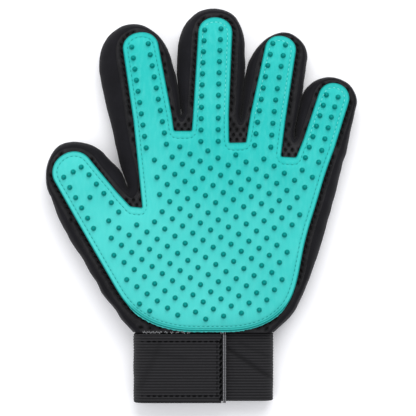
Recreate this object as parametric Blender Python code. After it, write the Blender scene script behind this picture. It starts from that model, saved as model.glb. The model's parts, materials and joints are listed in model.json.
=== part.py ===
"""Left-hand pet grooming glove, lying on its back with the studded rubber palm up.

Frame: origin at the middle of the palm on the surface the glove rests on, +Y towards the
fingertips, +Z out of the palm.  All driving sizes are in millimetres.
"""
import math
import bpy
import bmesh
from mathutils import Vector, geometry

# ---------------------------------------------------------------- driving dimensions (mm)
TUBE = 20.0             # thickness of the palm and of each finger tube, lying relaxed
CLOTH = 1.6             # thickness of every fabric panel
GAP = 0.35              # room left at each seam between neighbouring pieces
HALF_CUT = 0.16         # half of the room left across a finger's bending line
BAND_LEAST = 3.0        # narrowest and widest a side band shows from above
BAND_MOST = 12.0
BACK_INSET = 6.0        # how far the side bands wrap under to meet the back panels
PAD_BASE = TUBE + 0.3   # underside of the rubber pad
PAD_THICK = 1.7         # thickness of the rubber sheet
NUB_R = 1.25            # foot radius of one nub
NUB_TOP_R = 0.85        # radius near the top of one nub
NUB_HIGH = 3.0          # height of one nub above the sheet
NUB_SIDES = 6
EDGE_TO_NUB = 5.85      # clear rubber between a lattice nub's centre and the pad's edge
NUB_PITCH = 5.2         # two nubs never stand closer than this

LATTICE_AT = (30.7, -1.7)       # one nub of the palm's lattice
LATTICE_A = (5.90, -4.10)       # step along the lattice's first row direction
LATTICE_B = (-4.40, -5.86)      # step along the second
BARE = ((-12, 5), (-10, 4))     # lattice places below the thumb that carry no nub
OUTER = ((-5, 9), (-4, 9))      # places by the lower corner that carry one near the edge

# Each finger has its own frame: `at` is the middle of its root, `lean` tilts it away from
# +Y (clockwise positive), u runs to the right across it and v runs towards the tip.
#   line     v of the bending line
#   left     half-width at the root, half-width at the shoulder, height of the tip's curve
#   right    the same on the right side
#   tip      u of the tip's highest point,  length  v of the tip
#   pad      left at root, left at shoulder, right at root, right at shoulder, length, curve
#   mesh     width of air-mesh showing beside the pad: left, right, beyond the tip
#   nubs     columns of (u at v=0, u per mm of v, first v, step, count, bow in u, bow in v)
#   extra    single nubs (u, v)
FINGERS = {
    "thumb": dict(
        at=(-63.5, 20.3), lean=-34.0, line=1.7, left=(22.0, 17.8, 22.0),
        right=(22.0, 22.0, 20.0), length=43.6, tip=2.3, power=1.7,
        pad=(12.7, 10.8, 15.8, 13.4, 37.3, 11.5), mesh=(4.5, 2.7, 2.6),
        nubs=[(-6.6, 0.067, 26.2, 6.83, 6, 0.0, 0.0), (9.6, -0.08, 19.2, 6.85, 5, 0.0, 0.0)],
        extra=[(1.4, 25.7), (6.8, 25.4), (1.2, 8.1)]),
    "index": dict(
        at=(-34.5, 70.1), lean=-9.5, line=2.8, left=(20.4, 22.2, 26.0),
        right=(20.2, 19.9, 26.0), length=59.3, tip=-0.9, power=2.0,
        pad=(7.0, 6.2, 15.4, 14.5, 53.0, 9.0), mesh=(4.4, 2.8, 3.0),
        nubs=[(-2.0, 0.024, 45.2, 6.53, 10, 0.0, 0.3), (9.4, -0.013, 45.6, 6.56, 10, 0.0, 0.2)], extra=[]),
    "middle": dict(
        at=(2.8, 72.5), lean=2.8, line=3.6, left=(16.7, 21.1, 27.0),
        right=(16.8, 17.6, 25.0), length=65.2, tip=0.0, power=2.25,
        pad=(10.4, 9.7, 10.3, 10.0, 59.4, 9.0), mesh=(3.4, 4.0, 3.0),
        nubs=[(-5.3, -0.015, 51.7, 6.45, 11, -0.4, 0.5), (4.6, -0.024, 52.9, 6.51, 11, -0.5, 0.6)], extra=[]),
    "ring": dict(
        at=(35.0, 68.0), lean=10.7, line=5.6, left=(14.9, 16.3, 27.0),
        right=(16.2, 16.2, 14.0), length=56.9, tip=1.5, power=1.9,
        pad=(10.5, 9.4, 10.1, 8.6, 53.8, 8.0), mesh=(2.6, 4.4, 2.2),
        nubs=[(-5.0, -0.009, 48.6, 6.66, 10, -0.9, 0.2), (4.1, -0.045, 49.0, 6.62, 10, -1.1, 0.8)], extra=[]),
    "little": dict(
        at=(66.0, 57.5), lean=18.4, line=1.0, left=(15.4, 17.2, 15.0),
        right=(16.2, 13.2, 13.0), length=40.9, tip=-1.8, power=2.0,
        pad=(10.2, 10.2, 8.4, 7.9, 37.4, 9.0), mesh=(2.6, 3.4, 2.2),
        nubs=[(-5.9, 0.003, 29.1, 6.39, 7, 0.3, 0.2), (1.9, -0.03, 30.0, 6.55, 7, -0.45, 1.0)], extra=[]),
}

# Outer edge and panel edge of the palm's side pieces, listed in matching pairs.
THUMB_SIDE = [((-78.6, 2.2), (-73.4, 2.2)), ((-71.9, -7.5), (-67.2, -8.0)),
              ((-66.1, -18.0), (-61.2, -18.4)), ((-59.8, -28.4), (-55.0, -28.8)),
              ((-52.2, -38.9), (-47.2, -39.4)), ((-42.6, -50.7), (-37.4, -50.7))]
LITTLE_SIDE = [((79.5, 47.0), (74.3, 45.6)), ((76.6, 34.2), (70.8, 34.2)),
               ((73.7, 23.8), (67.8, 23.8)), ((67.9, 2.9), (61.6, 2.9)),
               ((60.9, -18.0), (57.0, -18.0)), ((55.1, -31.9), (51.6, -31.0)),
               ((50.0, -40.9), (46.0, -39.8)), ((39.7, -50.7), (35.5, -50.7))]
THUMB_CROTCH = [((-45.4, 32.9), (-43.2, 27.3)), ((-46.0, 36.4), (-39.6, 32.0)),
                ((-49.4, 46.4), (-39.9, 41.0)), ((-52.4, 57.6), (-42.9, 53.5))]
INDEX_CROTCH = [((-14.6, 75.2), (-15.4, 72.0)), ((-14.4, 75.0), (-14.2, 71.4)),
                ((-14.2, 75.3), (-12.6, 72.4))]
MIDDLE_CROTCH = [((20.3, 73.6), (18.6, 70.4)), ((20.6, 73.4), (20.0, 69.4)),
                 ((20.9, 73.8), (22.0, 71.0))]
RING_CROTCH = [((51.2, 66.4), (48.7, 63.8)), ((51.0, 62.7), (50.2, 59.6)),
               ((51.4, 62.3), (52.6, 60.0))]

# Palm pad: bottoms of the four notches (left corner, right corner) and the lower outline.
NOTCHES = {"thumb": ((-43.8, 22.4), (-36.8, 21.6)), "index": ((-18.5, 66.1), (-8.2, 66.1)),
           "middle": ((13.4, 59.2), (23.2, 59.4)), "ring": ((43.4, 51.2), (52.2, 50.7))}
PAD_RIGHT = [(69.2, 42.0), (63.8, 23.8), (57.4, 2.9), (53.2, -19.0), (49.6, -31.6)]
PAD_CORNER_R = ((44.4, -38.8), (34.2, -45.9))
PAD_BOTTOM = [(20.3, -49.7), (-15.0, -49.7)]
PAD_CORNER_L = ((-30.2, -45.9), (-41.8, -38.9))
PAD_LEFT = [(-48.1, -32.0), (-52.2, -24.9)]

# Cuff: a wide ribbed webbing whose end carries on round the thumb side as a strap.
CUFF_LEFT, CUFF_RIGHT = -42.0, 39.0
CUFF_TOP, CUFF_BOTTOM = -51.0, -90.6
WEB = 1.6                       # webbing thickness
CUFF_FRONT_Z = 14.6             # underside of the front band
LOOP_Z, TAPE = 16.5, 1.0        # underside of the loop tape, thickness of either tape
HOOK_Z = 17.8
FLAP_Z = 19.1                   # underside of the strap flap
FLAP_END = 9.2                  # x where the flap's webbing ends
FLAP_Y = (-91.6, -52.0)
FLAP_TOP = FLAP_Z + WEB

COLOURS = {                     # base colour and roughness of each material
    "rubber": ((0.055, 0.66, 0.60, 1.0), 0.45),
    "air_mesh": ((0.022, 0.021, 0.024, 1.0), 0.85),
    "jersey": ((0.016, 0.015, 0.019, 1.0), 0.8),
    "webbing": ((0.030, 0.028, 0.032, 1.0), 0.75),
    "tape": ((0.012, 0.012, 0.013, 1.0), 0.95),
    "binding": ((0.10, 0.10, 0.11, 1.0), 0.7),
}

for leftover in list(bpy.data.objects):
    bpy.data.objects.remove(leftover, do_unlink=True)


# ---------------------------------------------------------------- helpers
def finish(name, bm, colour):
    """Turn a closed bmesh in millimetres into a named object in metres."""
    bmesh.ops.scale(bm, vec=(0.001, 0.001, 0.001), verts=bm.verts)
    bmesh.ops.triangulate(bm, faces=bm.faces)
    bmesh.ops.recalc_face_normals(bm, faces=bm.faces)
    if bm.calc_volume(signed=True) < 0:
        bmesh.ops.reverse_faces(bm, faces=bm.faces)
    mesh = bpy.data.meshes.new(name)
    bm.to_mesh(mesh)
    bm.free()
    obj = bpy.data.objects.new(name, mesh)
    bpy.context.collection.objects.link(obj)
    mat = bpy.data.materials.new(name)
    mat.use_nodes = True
    shader = mat.node_tree.nodes["Principled BSDF"]
    shader.inputs["Base Color"].default_value = COLOURS[colour][0]
    shader.inputs["Roughness"].default_value = COLOURS[colour][1]
    mesh.materials.append(mat)
    return obj


def frame_of(finger):
    """Across and along unit vectors of a finger."""
    a = math.radians(finger["lean"])
    return Vector((math.cos(a), -math.sin(a))), Vector((math.sin(a), math.cos(a)))


def place(finger, u, v):
    across, along = frame_of(finger)
    return Vector(finger["at"]) + across * u + along * v


def local(finger, p):
    across, along = frame_of(finger)
    d = Vector(p) - Vector(finger["at"])
    return d.dot(across), d.dot(along)


def tube_outline(left, right, start, length, tip, power, sides=3, cap=4):
    """(u, v) points up the left side, round the tip and down the right side."""
    pts = []
    for k in range(sides):
        f = k / sides
        pts.append((-(left[0] + (left[1] - left[0]) * f), start + (length - left[2] - start) * f))
    for k in range(cap + 1):
        a = math.pi / 2 * k / cap
        reach = (left[1] + tip) * math.cos(a) ** (2 / power) if k < cap else 0.0
        pts.append((tip - reach, length - left[2] + left[2] * math.sin(a) ** (2 / power)))
    for k in range(1, cap + 1):
        a = math.pi / 2 * (1 - k / cap)
        reach = (right[1] - tip) * math.cos(a) ** (2 / power)
        pts.append((tip + reach, length - right[2] + right[2] * math.sin(a) ** (2 / power)))
    for k in range(1, sides + 1):
        f = 1 - k / sides
        pts.append((right[0] + (right[1] - right[0]) * f,
                    start + (length - right[2] - start) * f))
    return pts


def silhouette(finger):
    return tube_outline(finger["left"], finger["right"], finger["line"] + HALF_CUT,
                        finger["length"], finger["tip"], finger["power"])


def pad_outline(finger, grow=(0.0, 0.0, 0.0)):
    """Outline of the finger's pad, grown by the mesh showing beside it if asked."""
    l0, l1, r0, r1, length, curve = finger["pad"]
    curve += max(grow) * 0.8
    return tube_outline((l0 + grow[0], l1 + grow[0], curve), (r0 + grow[1], r1 + grow[1], curve),
                        finger["line"] + HALF_CUT, length + grow[2], (r1 - l1) / 2, 2.1)


def root(finger, side, v):
    """Outer edge and mesh-panel edge across a finger's root at height v."""
    half = finger["left"][0] if side < 0 else finger["right"][0]
    pad = finger["pad"][0] if side < 0 else finger["pad"][2]
    mesh = finger["mesh"][0] if side < 0 else finger["mesh"][1]
    shown = max(BAND_LEAST, half - pad - mesh)
    return place(finger, side * half, v), place(finger, side * (half - shown), v)


def panel_points(finger):
    """Silhouette points, each with the point of the mesh panel's edge straight inward."""
    edge = [place(finger, *q) for q in silhouette(finger)]
    rim = [place(finger, *q) for q in pad_outline(finger, finger["mesh"])]
    v = finger["line"] + HALF_CUT
    out = [root(finger, -1, v)[1]]
    for before, p, after in zip(edge, edge[1:], edge[2:]):
        run = (after - p).normalized() + (p - before).normalized()
        inward = Vector((run.y, -run.x)).normalized()
        shown = BAND_LEAST
        for a, b in zip(rim, rim[1:]):
            hit = geometry.intersect_line_line_2d(p, p + inward * BAND_MOST, a, b)
            if hit:
                shown = max(shown, (hit - p).length)
        out.append(p + inward * shown)
    return edge, out + [root(finger, 1, v)[1]]


def band_station(edge, panel):
    """Closed C-shaped section from the panel's edge round the outside to the back panel."""
    edge, panel = Vector(edge), Vector(panel)
    inward = panel - edge
    wide = inward.length
    inward.normalize()
    mid = TUBE / 2

    def arc(depth, thin, sign, angles):
        out = []
        for a in angles:
            a = math.radians(a)
            d = depth - (depth - thin) * math.cos(a)
            p = edge + inward * d
            out.append((p.x, p.y, mid + sign * (mid - thin) * math.sin(a)))
        return out

    outer = arc(wide, 0, 1, (90, 58, 28, 0)) + arc(BACK_INSET, 0, -1, (28, 58, 90))
    inner = arc(wide, CLOTH, 1, (90, 58, 28)) + arc(BACK_INSET, CLOTH, -1, (0, 28, 58, 90))
    return outer + inner[::-1]


def back_edge(edge, panel, extra=0.0):
    inward = Vector(panel) - Vector(edge)
    return Vector(edge) + inward.normalized() * (BACK_INSET + extra)


def loft(name, sections, colour):
    """Skin a run of equal closed sections and cap both ends."""
    bm = bmesh.new()
    rings = [[bm.verts.new(p) for p in section] for section in sections]
    n = len(rings[0])
    for a, b in zip(rings, rings[1:]):
        for k in range(n):
            bm.faces.new((a[k], a[(k + 1) % n], b[(k + 1) % n], b[k]))
    bm.faces.new(rings[0])
    bm.faces.new(rings[-1])
    return finish(name, bm, colour)


def slab(name, outline, low, high, colour, nubs=()):
    """Flat sheet with the given outline, carrying tapered nubs on its upper face."""
    outline = [Vector(p) for p in outline]
    count = len(outline)
    pts, loops = list(outline), [list(range(count))]
    for centre in nubs:
        start = len(pts)
        for k in range(NUB_SIDES):
            a = 2 * math.pi * (k + 0.5) / NUB_SIDES
            pts.append(Vector(centre) + Vector((math.cos(a), math.sin(a))) * NUB_R)
        loops.append(list(range(start, start + NUB_SIDES)))
    verts, _, faces, _, _, _ = geometry.delaunay_2d_cdt(pts, [], loops, 1, 1e-5)
    bm = bmesh.new()
    top = [bm.verts.new((v.x, v.y, high)) for v in verts]
    for tri in faces:
        owners = {(k - count) // NUB_SIDES if k >= count else -1 for k in tri}
        if len(owners) > 1 or -1 in owners:         # leave out the foot of each nub
            bm.faces.new([top[k] for k in tri])
    low_ring = [bm.verts.new((p.x, p.y, low)) for p in outline]
    for k in range(count):
        m = (k + 1) % count
        bm.faces.new((top[k], top[m], low_ring[m], low_ring[k]))
    bm.faces.new(low_ring)
    for j, centre in enumerate(nubs):
        foot = [top[count + j * NUB_SIDES + k] for k in range(NUB_SIDES)]
        crown = []
        for k in range(NUB_SIDES):
            a = 2 * math.pi * (k + 0.5) / NUB_SIDES
            crown.append(bm.verts.new((centre[0] + NUB_TOP_R * math.cos(a),
                                       centre[1] + NUB_TOP_R * math.sin(a), high + NUB_HIGH)))
        for k in range(NUB_SIDES):
            m = (k + 1) % NUB_SIDES
            bm.faces.new((foot[k], foot[m], crown[m], crown[k]))
        bm.faces.new(crown)
    return finish(name, bm, colour)


def inside(outline, p, margin):
    """True if p lies inside the outline and at least margin from it."""
    hit, near = False, 1e9
    for a, b in zip(outline, outline[1:] + outline[:1]):
        a, b = Vector(a), Vector(b)
        if (a.y > p.y) != (b.y > p.y) and p.x < a.x + (p.y - a.y) / (b.y - a.y) * (b.x - a.x):
            hit = not hit
        f = max(0.0, min(1.0, (p - a).dot(b - a) / (b - a).length_squared))
        near = min(near, (p - a - (b - a) * f).length)
    return hit and near >= margin


def bend(a, corner, b, steps):
    """Round curve from a to b pulled towards a corner point."""
    a, corner, b = Vector(a), Vector(corner), Vector(b)
    return [a * (1 - t) ** 2 + corner * 2 * t * (1 - t) + b * t * t
            for t in [k / steps for k in range(1, steps)]]


def box(name, x, y, z, colour):
    return slab(name, [(x[0], y[0]), (x[1], y[0]), (x[1], y[1]), (x[0], y[1])], z[0], z[1],
                colour)


# ---------------------------------------------------------------- nub layout
nub_points = []
for f in FINGERS.values():
    for u0, slope, first, step, count, bow_u, bow_v in f["nubs"]:
        for k in range(count):
            t = k / (count - 1)
            v = first - step * k + 4 * bow_v * t * (1 - t)
            nub_points.append(place(f, u0 + slope * v + 4 * bow_u * t * (1 - t), v))
    for u, v in f["extra"]:
        nub_points.append(place(f, u, v))

order = ["thumb", "index", "middle", "ring", "little"]
palm_pad = []
for name in order:
    f = FINGERS[name]
    v = f["line"] - HALF_CUT
    palm_pad += [place(f, -f["pad"][0], v), place(f, f["pad"][2], v)]
    palm_pad += [Vector(p) for p in NOTCHES.get(name, ())]
palm_pad += [Vector(p) for p in PAD_RIGHT]
palm_pad += bend(PAD_RIGHT[-1], PAD_CORNER_R[0], PAD_CORNER_R[1], 3) + [Vector(PAD_CORNER_R[1])]
palm_pad += [Vector(p) for p in PAD_BOTTOM] + [Vector(PAD_CORNER_L[0])]
palm_pad += bend(PAD_CORNER_L[0], PAD_CORNER_L[1], PAD_LEFT[0], 3)
palm_pad += [Vector(p) for p in PAD_LEFT]

for i in range(-20, 21):
    for j in range(-14, 15):
        p = (Vector(LATTICE_AT) + Vector(LATTICE_A) * i + Vector(LATTICE_B) * j)
        if (i, j) in BARE or ((i, j) not in OUTER and not inside(palm_pad, p, EDGE_TO_NUB)):
            continue
        if any((p - q).length < NUB_PITCH for q in nub_points):
            continue
        nub_points.append(p)


def nubs_of(name):
    """Nubs that stand on one finger, or on the palm for None."""
    out = []
    for p in nub_points:
        owner = None
        for key, f in FINGERS.items():
            u, v = local(f, p)
            if v > f["line"] and inside([place(f, *q) for q in pad_outline(f)], p, 0.5):
                owner = key
        if owner == name:
            out.append(p)
    return out


# ---------------------------------------------------------------- finger tubes
for key, f in FINGERS.items():
    edge, panel = panel_points(f)
    loft("side_band_" + key, [band_station(a, b) for a, b in zip(edge, panel)], "jersey")
    front = [b + (b - a).normalized() * GAP for a, b in zip(edge, panel)]
    slab("mesh_front_" + key, front, TUBE - CLOTH, TUBE, "air_mesh")
    back = [back_edge(a, b, GAP) for a, b in zip(edge, panel)]
    slab("back_panel_" + key, back, 0.0, CLOTH, "air_mesh")
    pad = [place(f, *q) for q in pad_outline(f)]
    slab("pad_" + key, pad, PAD_BASE, PAD_BASE + PAD_THICK, "rubber", nubs_of(key))


# ---------------------------------------------------------------- palm side pieces
def foot(name, side):
    """Root of a finger on the palm's side of its bending line."""
    return root(FINGERS[name], side, FINGERS[name]["line"] - HALF_CUT)


PALM_RUNS = [
    ("palm_side_thumb", list(reversed(THUMB_SIDE)) + [foot("thumb", -1)]),
    ("crotch_thumb_index", [foot("thumb", 1)] + THUMB_CROTCH + [foot("index", -1)]),
    ("crotch_index_middle", [foot("index", 1)] + INDEX_CROTCH + [foot("middle", -1)]),
    ("crotch_middle_ring", [foot("middle", 1)] + MIDDLE_CROTCH + [foot("ring", -1)]),
    ("crotch_ring_little", [foot("ring", 1)] + RING_CROTCH + [foot("little", -1)]),
    ("palm_side_little", [foot("little", 1)] + LITTLE_SIDE),
]
front_outline, back_outline = [], []
for name, run in PALM_RUNS:
    loft(name, [band_station(a, b) for a, b in run], "jersey")
    for a, b in run:
        a, b = Vector(a), Vector(b)
        front_outline.append(b + (b - a).normalized() * GAP)
        back_outline.append(back_edge(a, b, GAP))
slab("mesh_front_palm", front_outline, TUBE - CLOTH, TUBE, "air_mesh")
slab("back_panel_palm", back_outline, 0.0, CLOTH, "air_mesh")
slab("pad_palm", palm_pad, PAD_BASE, PAD_BASE + PAD_THICK, "rubber", nubs_of(None))

# ---------------------------------------------------------------- cuff and strap
def extrude_y(name, section, y0, y1, colour):
    """Solid with the given section of (x, z) points, running from y0 to y1."""
    bm = bmesh.new()
    a = [bm.verts.new((x, y0, z)) for x, z in section]
    b = [bm.verts.new((x, y1, z)) for x, z in section]
    n = len(section)
    for k in range(n):
        bm.faces.new((a[k], a[(k + 1) % n], b[(k + 1) % n], b[k]))
    bm.faces.new(a)
    bm.faces.new(b)
    return finish(name, bm, colour)


def fold(cx, cz, rx, rz, angles):
    """Points on an upright ellipse; 0 degrees points along +X and 90 along +Z."""
    return [(cx + rx * math.cos(math.radians(a)), cz + rz * math.sin(math.radians(a)))
            for a in angles]


# back band: lies under the wrist, rises round the little-finger side and, on the thumb side,
# rises to the crown of the fold, where the strap takes over
FOLD = 7.0                                      # how far each fold reaches sideways
right_top = CUFF_FRONT_Z + WEB
crown_z = FLAP_TOP / 2
outer = fold(CUFF_LEFT + FOLD, crown_z, FOLD, crown_z, (182, 205, 230, 250, 270))
outer += fold(CUFF_RIGHT - FOLD, right_top / 2, FOLD, right_top / 2, (270, 295, 325, 0, 35, 65, 90))
inner = fold(CUFF_RIGHT - FOLD, right_top / 2, FOLD - WEB, right_top / 2 - WEB,
             (90, 65, 35, 0, 325, 295, 270))
inner += fold(CUFF_LEFT + FOLD, crown_z, FOLD - WEB, crown_z - WEB, (270, 250, 230, 205, 182))
extrude_y("cuff_back_band", outer + inner, CUFF_BOTTOM, CUFF_TOP, "webbing")
box("cuff_front_band", (CUFF_LEFT + FOLD, CUFF_RIGHT - FOLD - GAP), (CUFF_BOTTOM, CUFF_TOP),
    (CUFF_FRONT_Z, CUFF_FRONT_Z + WEB), "webbing")

flap = fold(CUFF_LEFT + FOLD, crown_z, FOLD, crown_z, (178, 155, 130, 110, 90))
flap += [(FLAP_END, FLAP_TOP), (FLAP_END, FLAP_Z)]
flap += fold(CUFF_LEFT + FOLD, crown_z, FOLD - WEB, crown_z - WEB, (90, 110, 130, 155, 178))
extrude_y("strap_flap", flap, FLAP_Y[0], FLAP_Y[1], "webbing")
box("strap_end_binding", (FLAP_END + GAP, FLAP_END + 2.4), FLAP_Y, (FLAP_Z - 0.2, FLAP_TOP + 0.2),
    "binding")
box("hook_tape", (-24.0, FLAP_END - 2.0), (FLAP_Y[0] + 4.0, FLAP_Y[1] - 4.0),
    (HOOK_Z, HOOK_Z + TAPE), "tape")
box("loop_tape", (-30.0, FLAP_END + 2.0), (CUFF_BOTTOM + 3.0, CUFF_TOP - 3.0),
    (LOOP_Z, LOOP_Z + TAPE), "tape")
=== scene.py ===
"""Looks of the studded grooming glove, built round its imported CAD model.

Lengths inside this file are millimetres in the CAD's frame (palm up, fingers towards +Y,
thumb towards -X, back resting on z = 0); objects are written in metres.
"""
import json
import math

import bpy
import numpy as np
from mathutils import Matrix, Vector, geometry, noise


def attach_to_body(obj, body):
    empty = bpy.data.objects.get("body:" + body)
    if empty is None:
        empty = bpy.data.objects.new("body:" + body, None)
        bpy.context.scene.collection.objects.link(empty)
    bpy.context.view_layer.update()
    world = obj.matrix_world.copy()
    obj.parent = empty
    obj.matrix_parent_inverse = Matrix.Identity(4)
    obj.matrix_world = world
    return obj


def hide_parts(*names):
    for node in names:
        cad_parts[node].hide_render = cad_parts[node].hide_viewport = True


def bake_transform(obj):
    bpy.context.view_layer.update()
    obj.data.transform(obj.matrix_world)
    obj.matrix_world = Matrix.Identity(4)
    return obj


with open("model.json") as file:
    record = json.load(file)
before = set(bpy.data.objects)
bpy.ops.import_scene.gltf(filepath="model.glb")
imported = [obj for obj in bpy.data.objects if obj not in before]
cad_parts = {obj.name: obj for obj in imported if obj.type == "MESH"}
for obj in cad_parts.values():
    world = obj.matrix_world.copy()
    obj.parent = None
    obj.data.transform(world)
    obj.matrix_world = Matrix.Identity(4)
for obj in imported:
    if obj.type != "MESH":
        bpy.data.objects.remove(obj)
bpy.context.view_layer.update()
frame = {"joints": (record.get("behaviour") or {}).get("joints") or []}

# ------------------------------------------------------------------ sizes
TUBE = 20.0                 # height of the fabric's palm side above the table
MID = TUBE / 2
BACK_INSET = 6.0            # how far the smooth bands wrap under
PAD_LOW, PAD_TOP = 20.05, 22.0
STITCH_IN = 2.7             # stitch line's distance from the pad's edge
NUB_HIGH = 3.0
BAND_LEAST, BAND_MOST = 1.7, 12.5
CUFF_TOP, CUFF_BOTTOM, FLAP_BOTTOM = -51.0, -90.6, -91.6
BODIES = ("thumb", "index", "middle", "ring", "little")

# left / right: half-width at the root, at the shoulder, height of the tip's curve, belly
FINGERS = {
    "thumb": dict(at=(-63.5, 20.3), lean=-34.0, line=1.7, left=(22.0, 17.8, 22.0, 0.6),
                  right=(22.0, 22.0, 20.0, 1.3), length=43.6, tip=2.3, power=1.7,
                  pad=(12.7, 10.8, 15.8, 13.4, 37.3, 11.5), mesh=(4.5, 2.7, 2.6),
                  nubs=[(-6.6, 0.067, 26.2, 6.83, 6, 0.0, 0.0), (9.6, -0.08, 19.2, 6.85, 5, 0.0, 0.0)],
                  extra=[(1.4, 25.7), (6.8, 25.4), (1.2, 8.1)]),
    "index": dict(at=(-34.5, 70.1), lean=-9.5, line=2.8, left=(20.4, 22.3, 26.0, 0.4),
                  right=(20.2, 20.2, 26.0, 1.0), length=59.3, tip=-0.9, power=2.0,
                  pad=(7.0, 6.2, 15.4, 14.5, 53.0, 9.0), mesh=(4.4, 2.8, 3.0),
                  nubs=[(-2.0, 0.024, 45.2, 6.53, 10, 0.0, 0.3), (9.4, -0.013, 45.6, 6.56, 10, 0.0, 0.2)],
                  extra=[]),
    "middle": dict(at=(2.8, 72.5), lean=2.8, line=3.6, left=(16.7, 21.3, 27.0, 0.9),
                   right=(16.8, 17.8, 25.0, 0.8), length=65.2, tip=0.0, power=2.25,
                   pad=(10.4, 9.7, 10.3, 10.0, 59.4, 9.0), mesh=(3.4, 4.0, 3.0),
                   nubs=[(-5.3, -0.015, 51.7, 6.45, 11, -0.4, 0.5), (4.6, -0.024, 52.9, 6.51, 11, -0.5, 0.6)],
                   extra=[]),
    "ring": dict(at=(35.0, 68.0), lean=10.7, line=5.6, left=(14.9, 17.2, 27.0, 0.6),
                 right=(16.2, 16.3, 14.0, 0.3), length=56.9, tip=1.5, power=1.9,
                 pad=(10.5, 9.4, 10.1, 8.6, 53.8, 8.0), mesh=(2.6, 4.4, 2.2),
                 nubs=[(-5.0, -0.009, 48.6, 6.66, 10, -0.9, 0.2), (4.1, -0.045, 49.0, 6.62, 10, -1.1, 0.8)],
                 extra=[]),
    "little": dict(at=(66.0, 57.5), lean=18.4, line=1.0, left=(15.4, 18.0, 15.0, 0.6),
                   right=(16.2, 13.2, 13.0, 0.0), length=40.9, tip=-1.8, power=2.0,
                   pad=(10.2, 10.2, 8.4, 7.9, 37.4, 9.0), mesh=(2.6, 3.4, 2.2),
                   nubs=[(-5.9, 0.003, 29.1, 6.39, 7, 0.3, 0.2), (1.9, -0.03, 30.0, 6.55, 7, -0.45, 1.0)],
                   extra=[]),
}
# palm side pieces: (outer edge, edge of the mesh panel) in matching pairs
THUMB_SIDE = [((-78.6, 2.2), (-73.4, 2.2)), ((-71.9, -7.5), (-67.2, -8.0)),
              ((-66.1, -18.0), (-61.2, -18.4)), ((-59.8, -28.4), (-55.0, -28.8)),
              ((-52.2, -38.9), (-47.2, -39.4)), ((-42.6, -50.7), (-37.4, -50.7))]
LITTLE_SIDE = [((79.5, 47.0), (74.3, 45.6)), ((76.6, 34.2), (70.8, 34.2)),
               ((73.7, 23.8), (67.8, 23.8)), ((67.9, 2.9), (61.6, 2.9)),
               ((60.9, -18.0), (57.0, -18.0)), ((55.1, -31.9), (51.6, -31.0)),
               ((50.0, -40.9), (46.0, -39.8)), ((39.7, -50.7), (35.5, -50.7))]
CROTCHES = [
    ("thumb", "index", [((-45.4, 32.9), (-43.2, 27.3)), ((-46.0, 36.4), (-39.6, 32.0)),
                        ((-49.4, 46.4), (-39.9, 41.0)), ((-52.4, 57.6), (-42.9, 53.5))]),
    ("index", "middle", [((-14.6, 75.2), (-15.4, 72.0)), ((-14.4, 75.0), (-14.2, 71.4)),
                         ((-14.2, 75.3), (-12.6, 72.4))]),
    ("middle", "ring", [((20.3, 73.6), (18.6, 70.4)), ((20.6, 73.4), (20.0, 69.4)),
                        ((20.9, 73.8), (22.0, 71.0))]),
    ("ring", "little", [((51.7, 66.4), (49.0, 63.6)), ((51.6, 62.4), (50.6, 59.4)),
                        ((51.5, 62.4), (52.6, 60.2))]),
]
NOTCHES = {"thumb": ((-43.8, 22.4), (-36.8, 21.6)), "index": ((-18.5, 66.1), (-8.2, 66.1)),
           "middle": ((13.4, 59.2), (23.2, 59.4)), "ring": ((43.4, 51.2), (52.2, 50.7))}
PAD_RIGHT = [(69.2, 42.0), (63.8, 23.8), (57.4, 2.9), (53.2, -19.0), (49.6, -31.6)]
PAD_CORNER_R = ((44.4, -38.8), (34.2, -45.9))
PAD_BOTTOM = [(20.3, -49.7), (-15.0, -49.7)]
PAD_CORNER_L = ((-30.2, -45.9), (-41.8, -38.9))
PAD_LEFT = [(-48.1, -32.0), (-52.2, -24.9)]
LATTICE_AT, LATTICE_A, LATTICE_B = (30.7, -1.7), (5.90, -4.10), (-4.40, -5.86)
BARE, OUTER = ((-12, 5), (-10, 4)), ((-5, 9), (-4, 9))
HOLE_STEP = (4.0, 2.9)      # air mesh: spacing of the holes along a row, and of the rows
HOLE_R = (0.88, 1.15)


# ------------------------------------------------------------------ plane geometry
def axes(f):
    a = math.radians(f["lean"])
    return (np.array((math.cos(a), -math.sin(a))), np.array((math.sin(a), math.cos(a))))


def place(f, uv):
    across, along = axes(f)
    uv = np.atleast_2d(uv)
    return np.array(f["at"]) + uv[:, :1] * across + uv[:, 1:2] * along


def local(f, pts):
    across, along = axes(f)
    d = np.atleast_2d(pts) - np.array(f["at"])
    return np.stack([d @ across, d @ along], 1)


def tube_outline(left, right, start, length, tip, power, sides=26, cap=16):
    """(u, v) points up the left side, round the tip and down the right side."""
    pts = []
    belly = lambda w, f: w[3] * math.sin(math.pi * f) if len(w) > 3 else 0.0
    for k in range(sides):
        f = k / sides
        pts.append((-(left[0] + (left[1] - left[0]) * f + belly(left, f)),
                    start + (length - left[2] - start) * f))
    for k in range(cap + 1):
        a = math.pi / 2 * k / cap
        reach = (left[1] + tip) * math.cos(a) ** (2 / power) if k < cap else 0.0
        pts.append((tip - reach, length - left[2] + left[2] * math.sin(a) ** (2 / power)))
    for k in range(1, cap + 1):
        a = math.pi / 2 * (1 - k / cap)
        reach = (right[1] - tip) * math.cos(a) ** (2 / power)
        pts.append((tip + reach, length - right[2] + right[2] * math.sin(a) ** (2 / power)))
    for k in range(1, sides + 1):
        f = 1 - k / sides
        pts.append((right[0] + (right[1] - right[0]) * f + belly(right, f),
                    start + (length - right[2] - start) * f))
    return np.array(pts)


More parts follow.
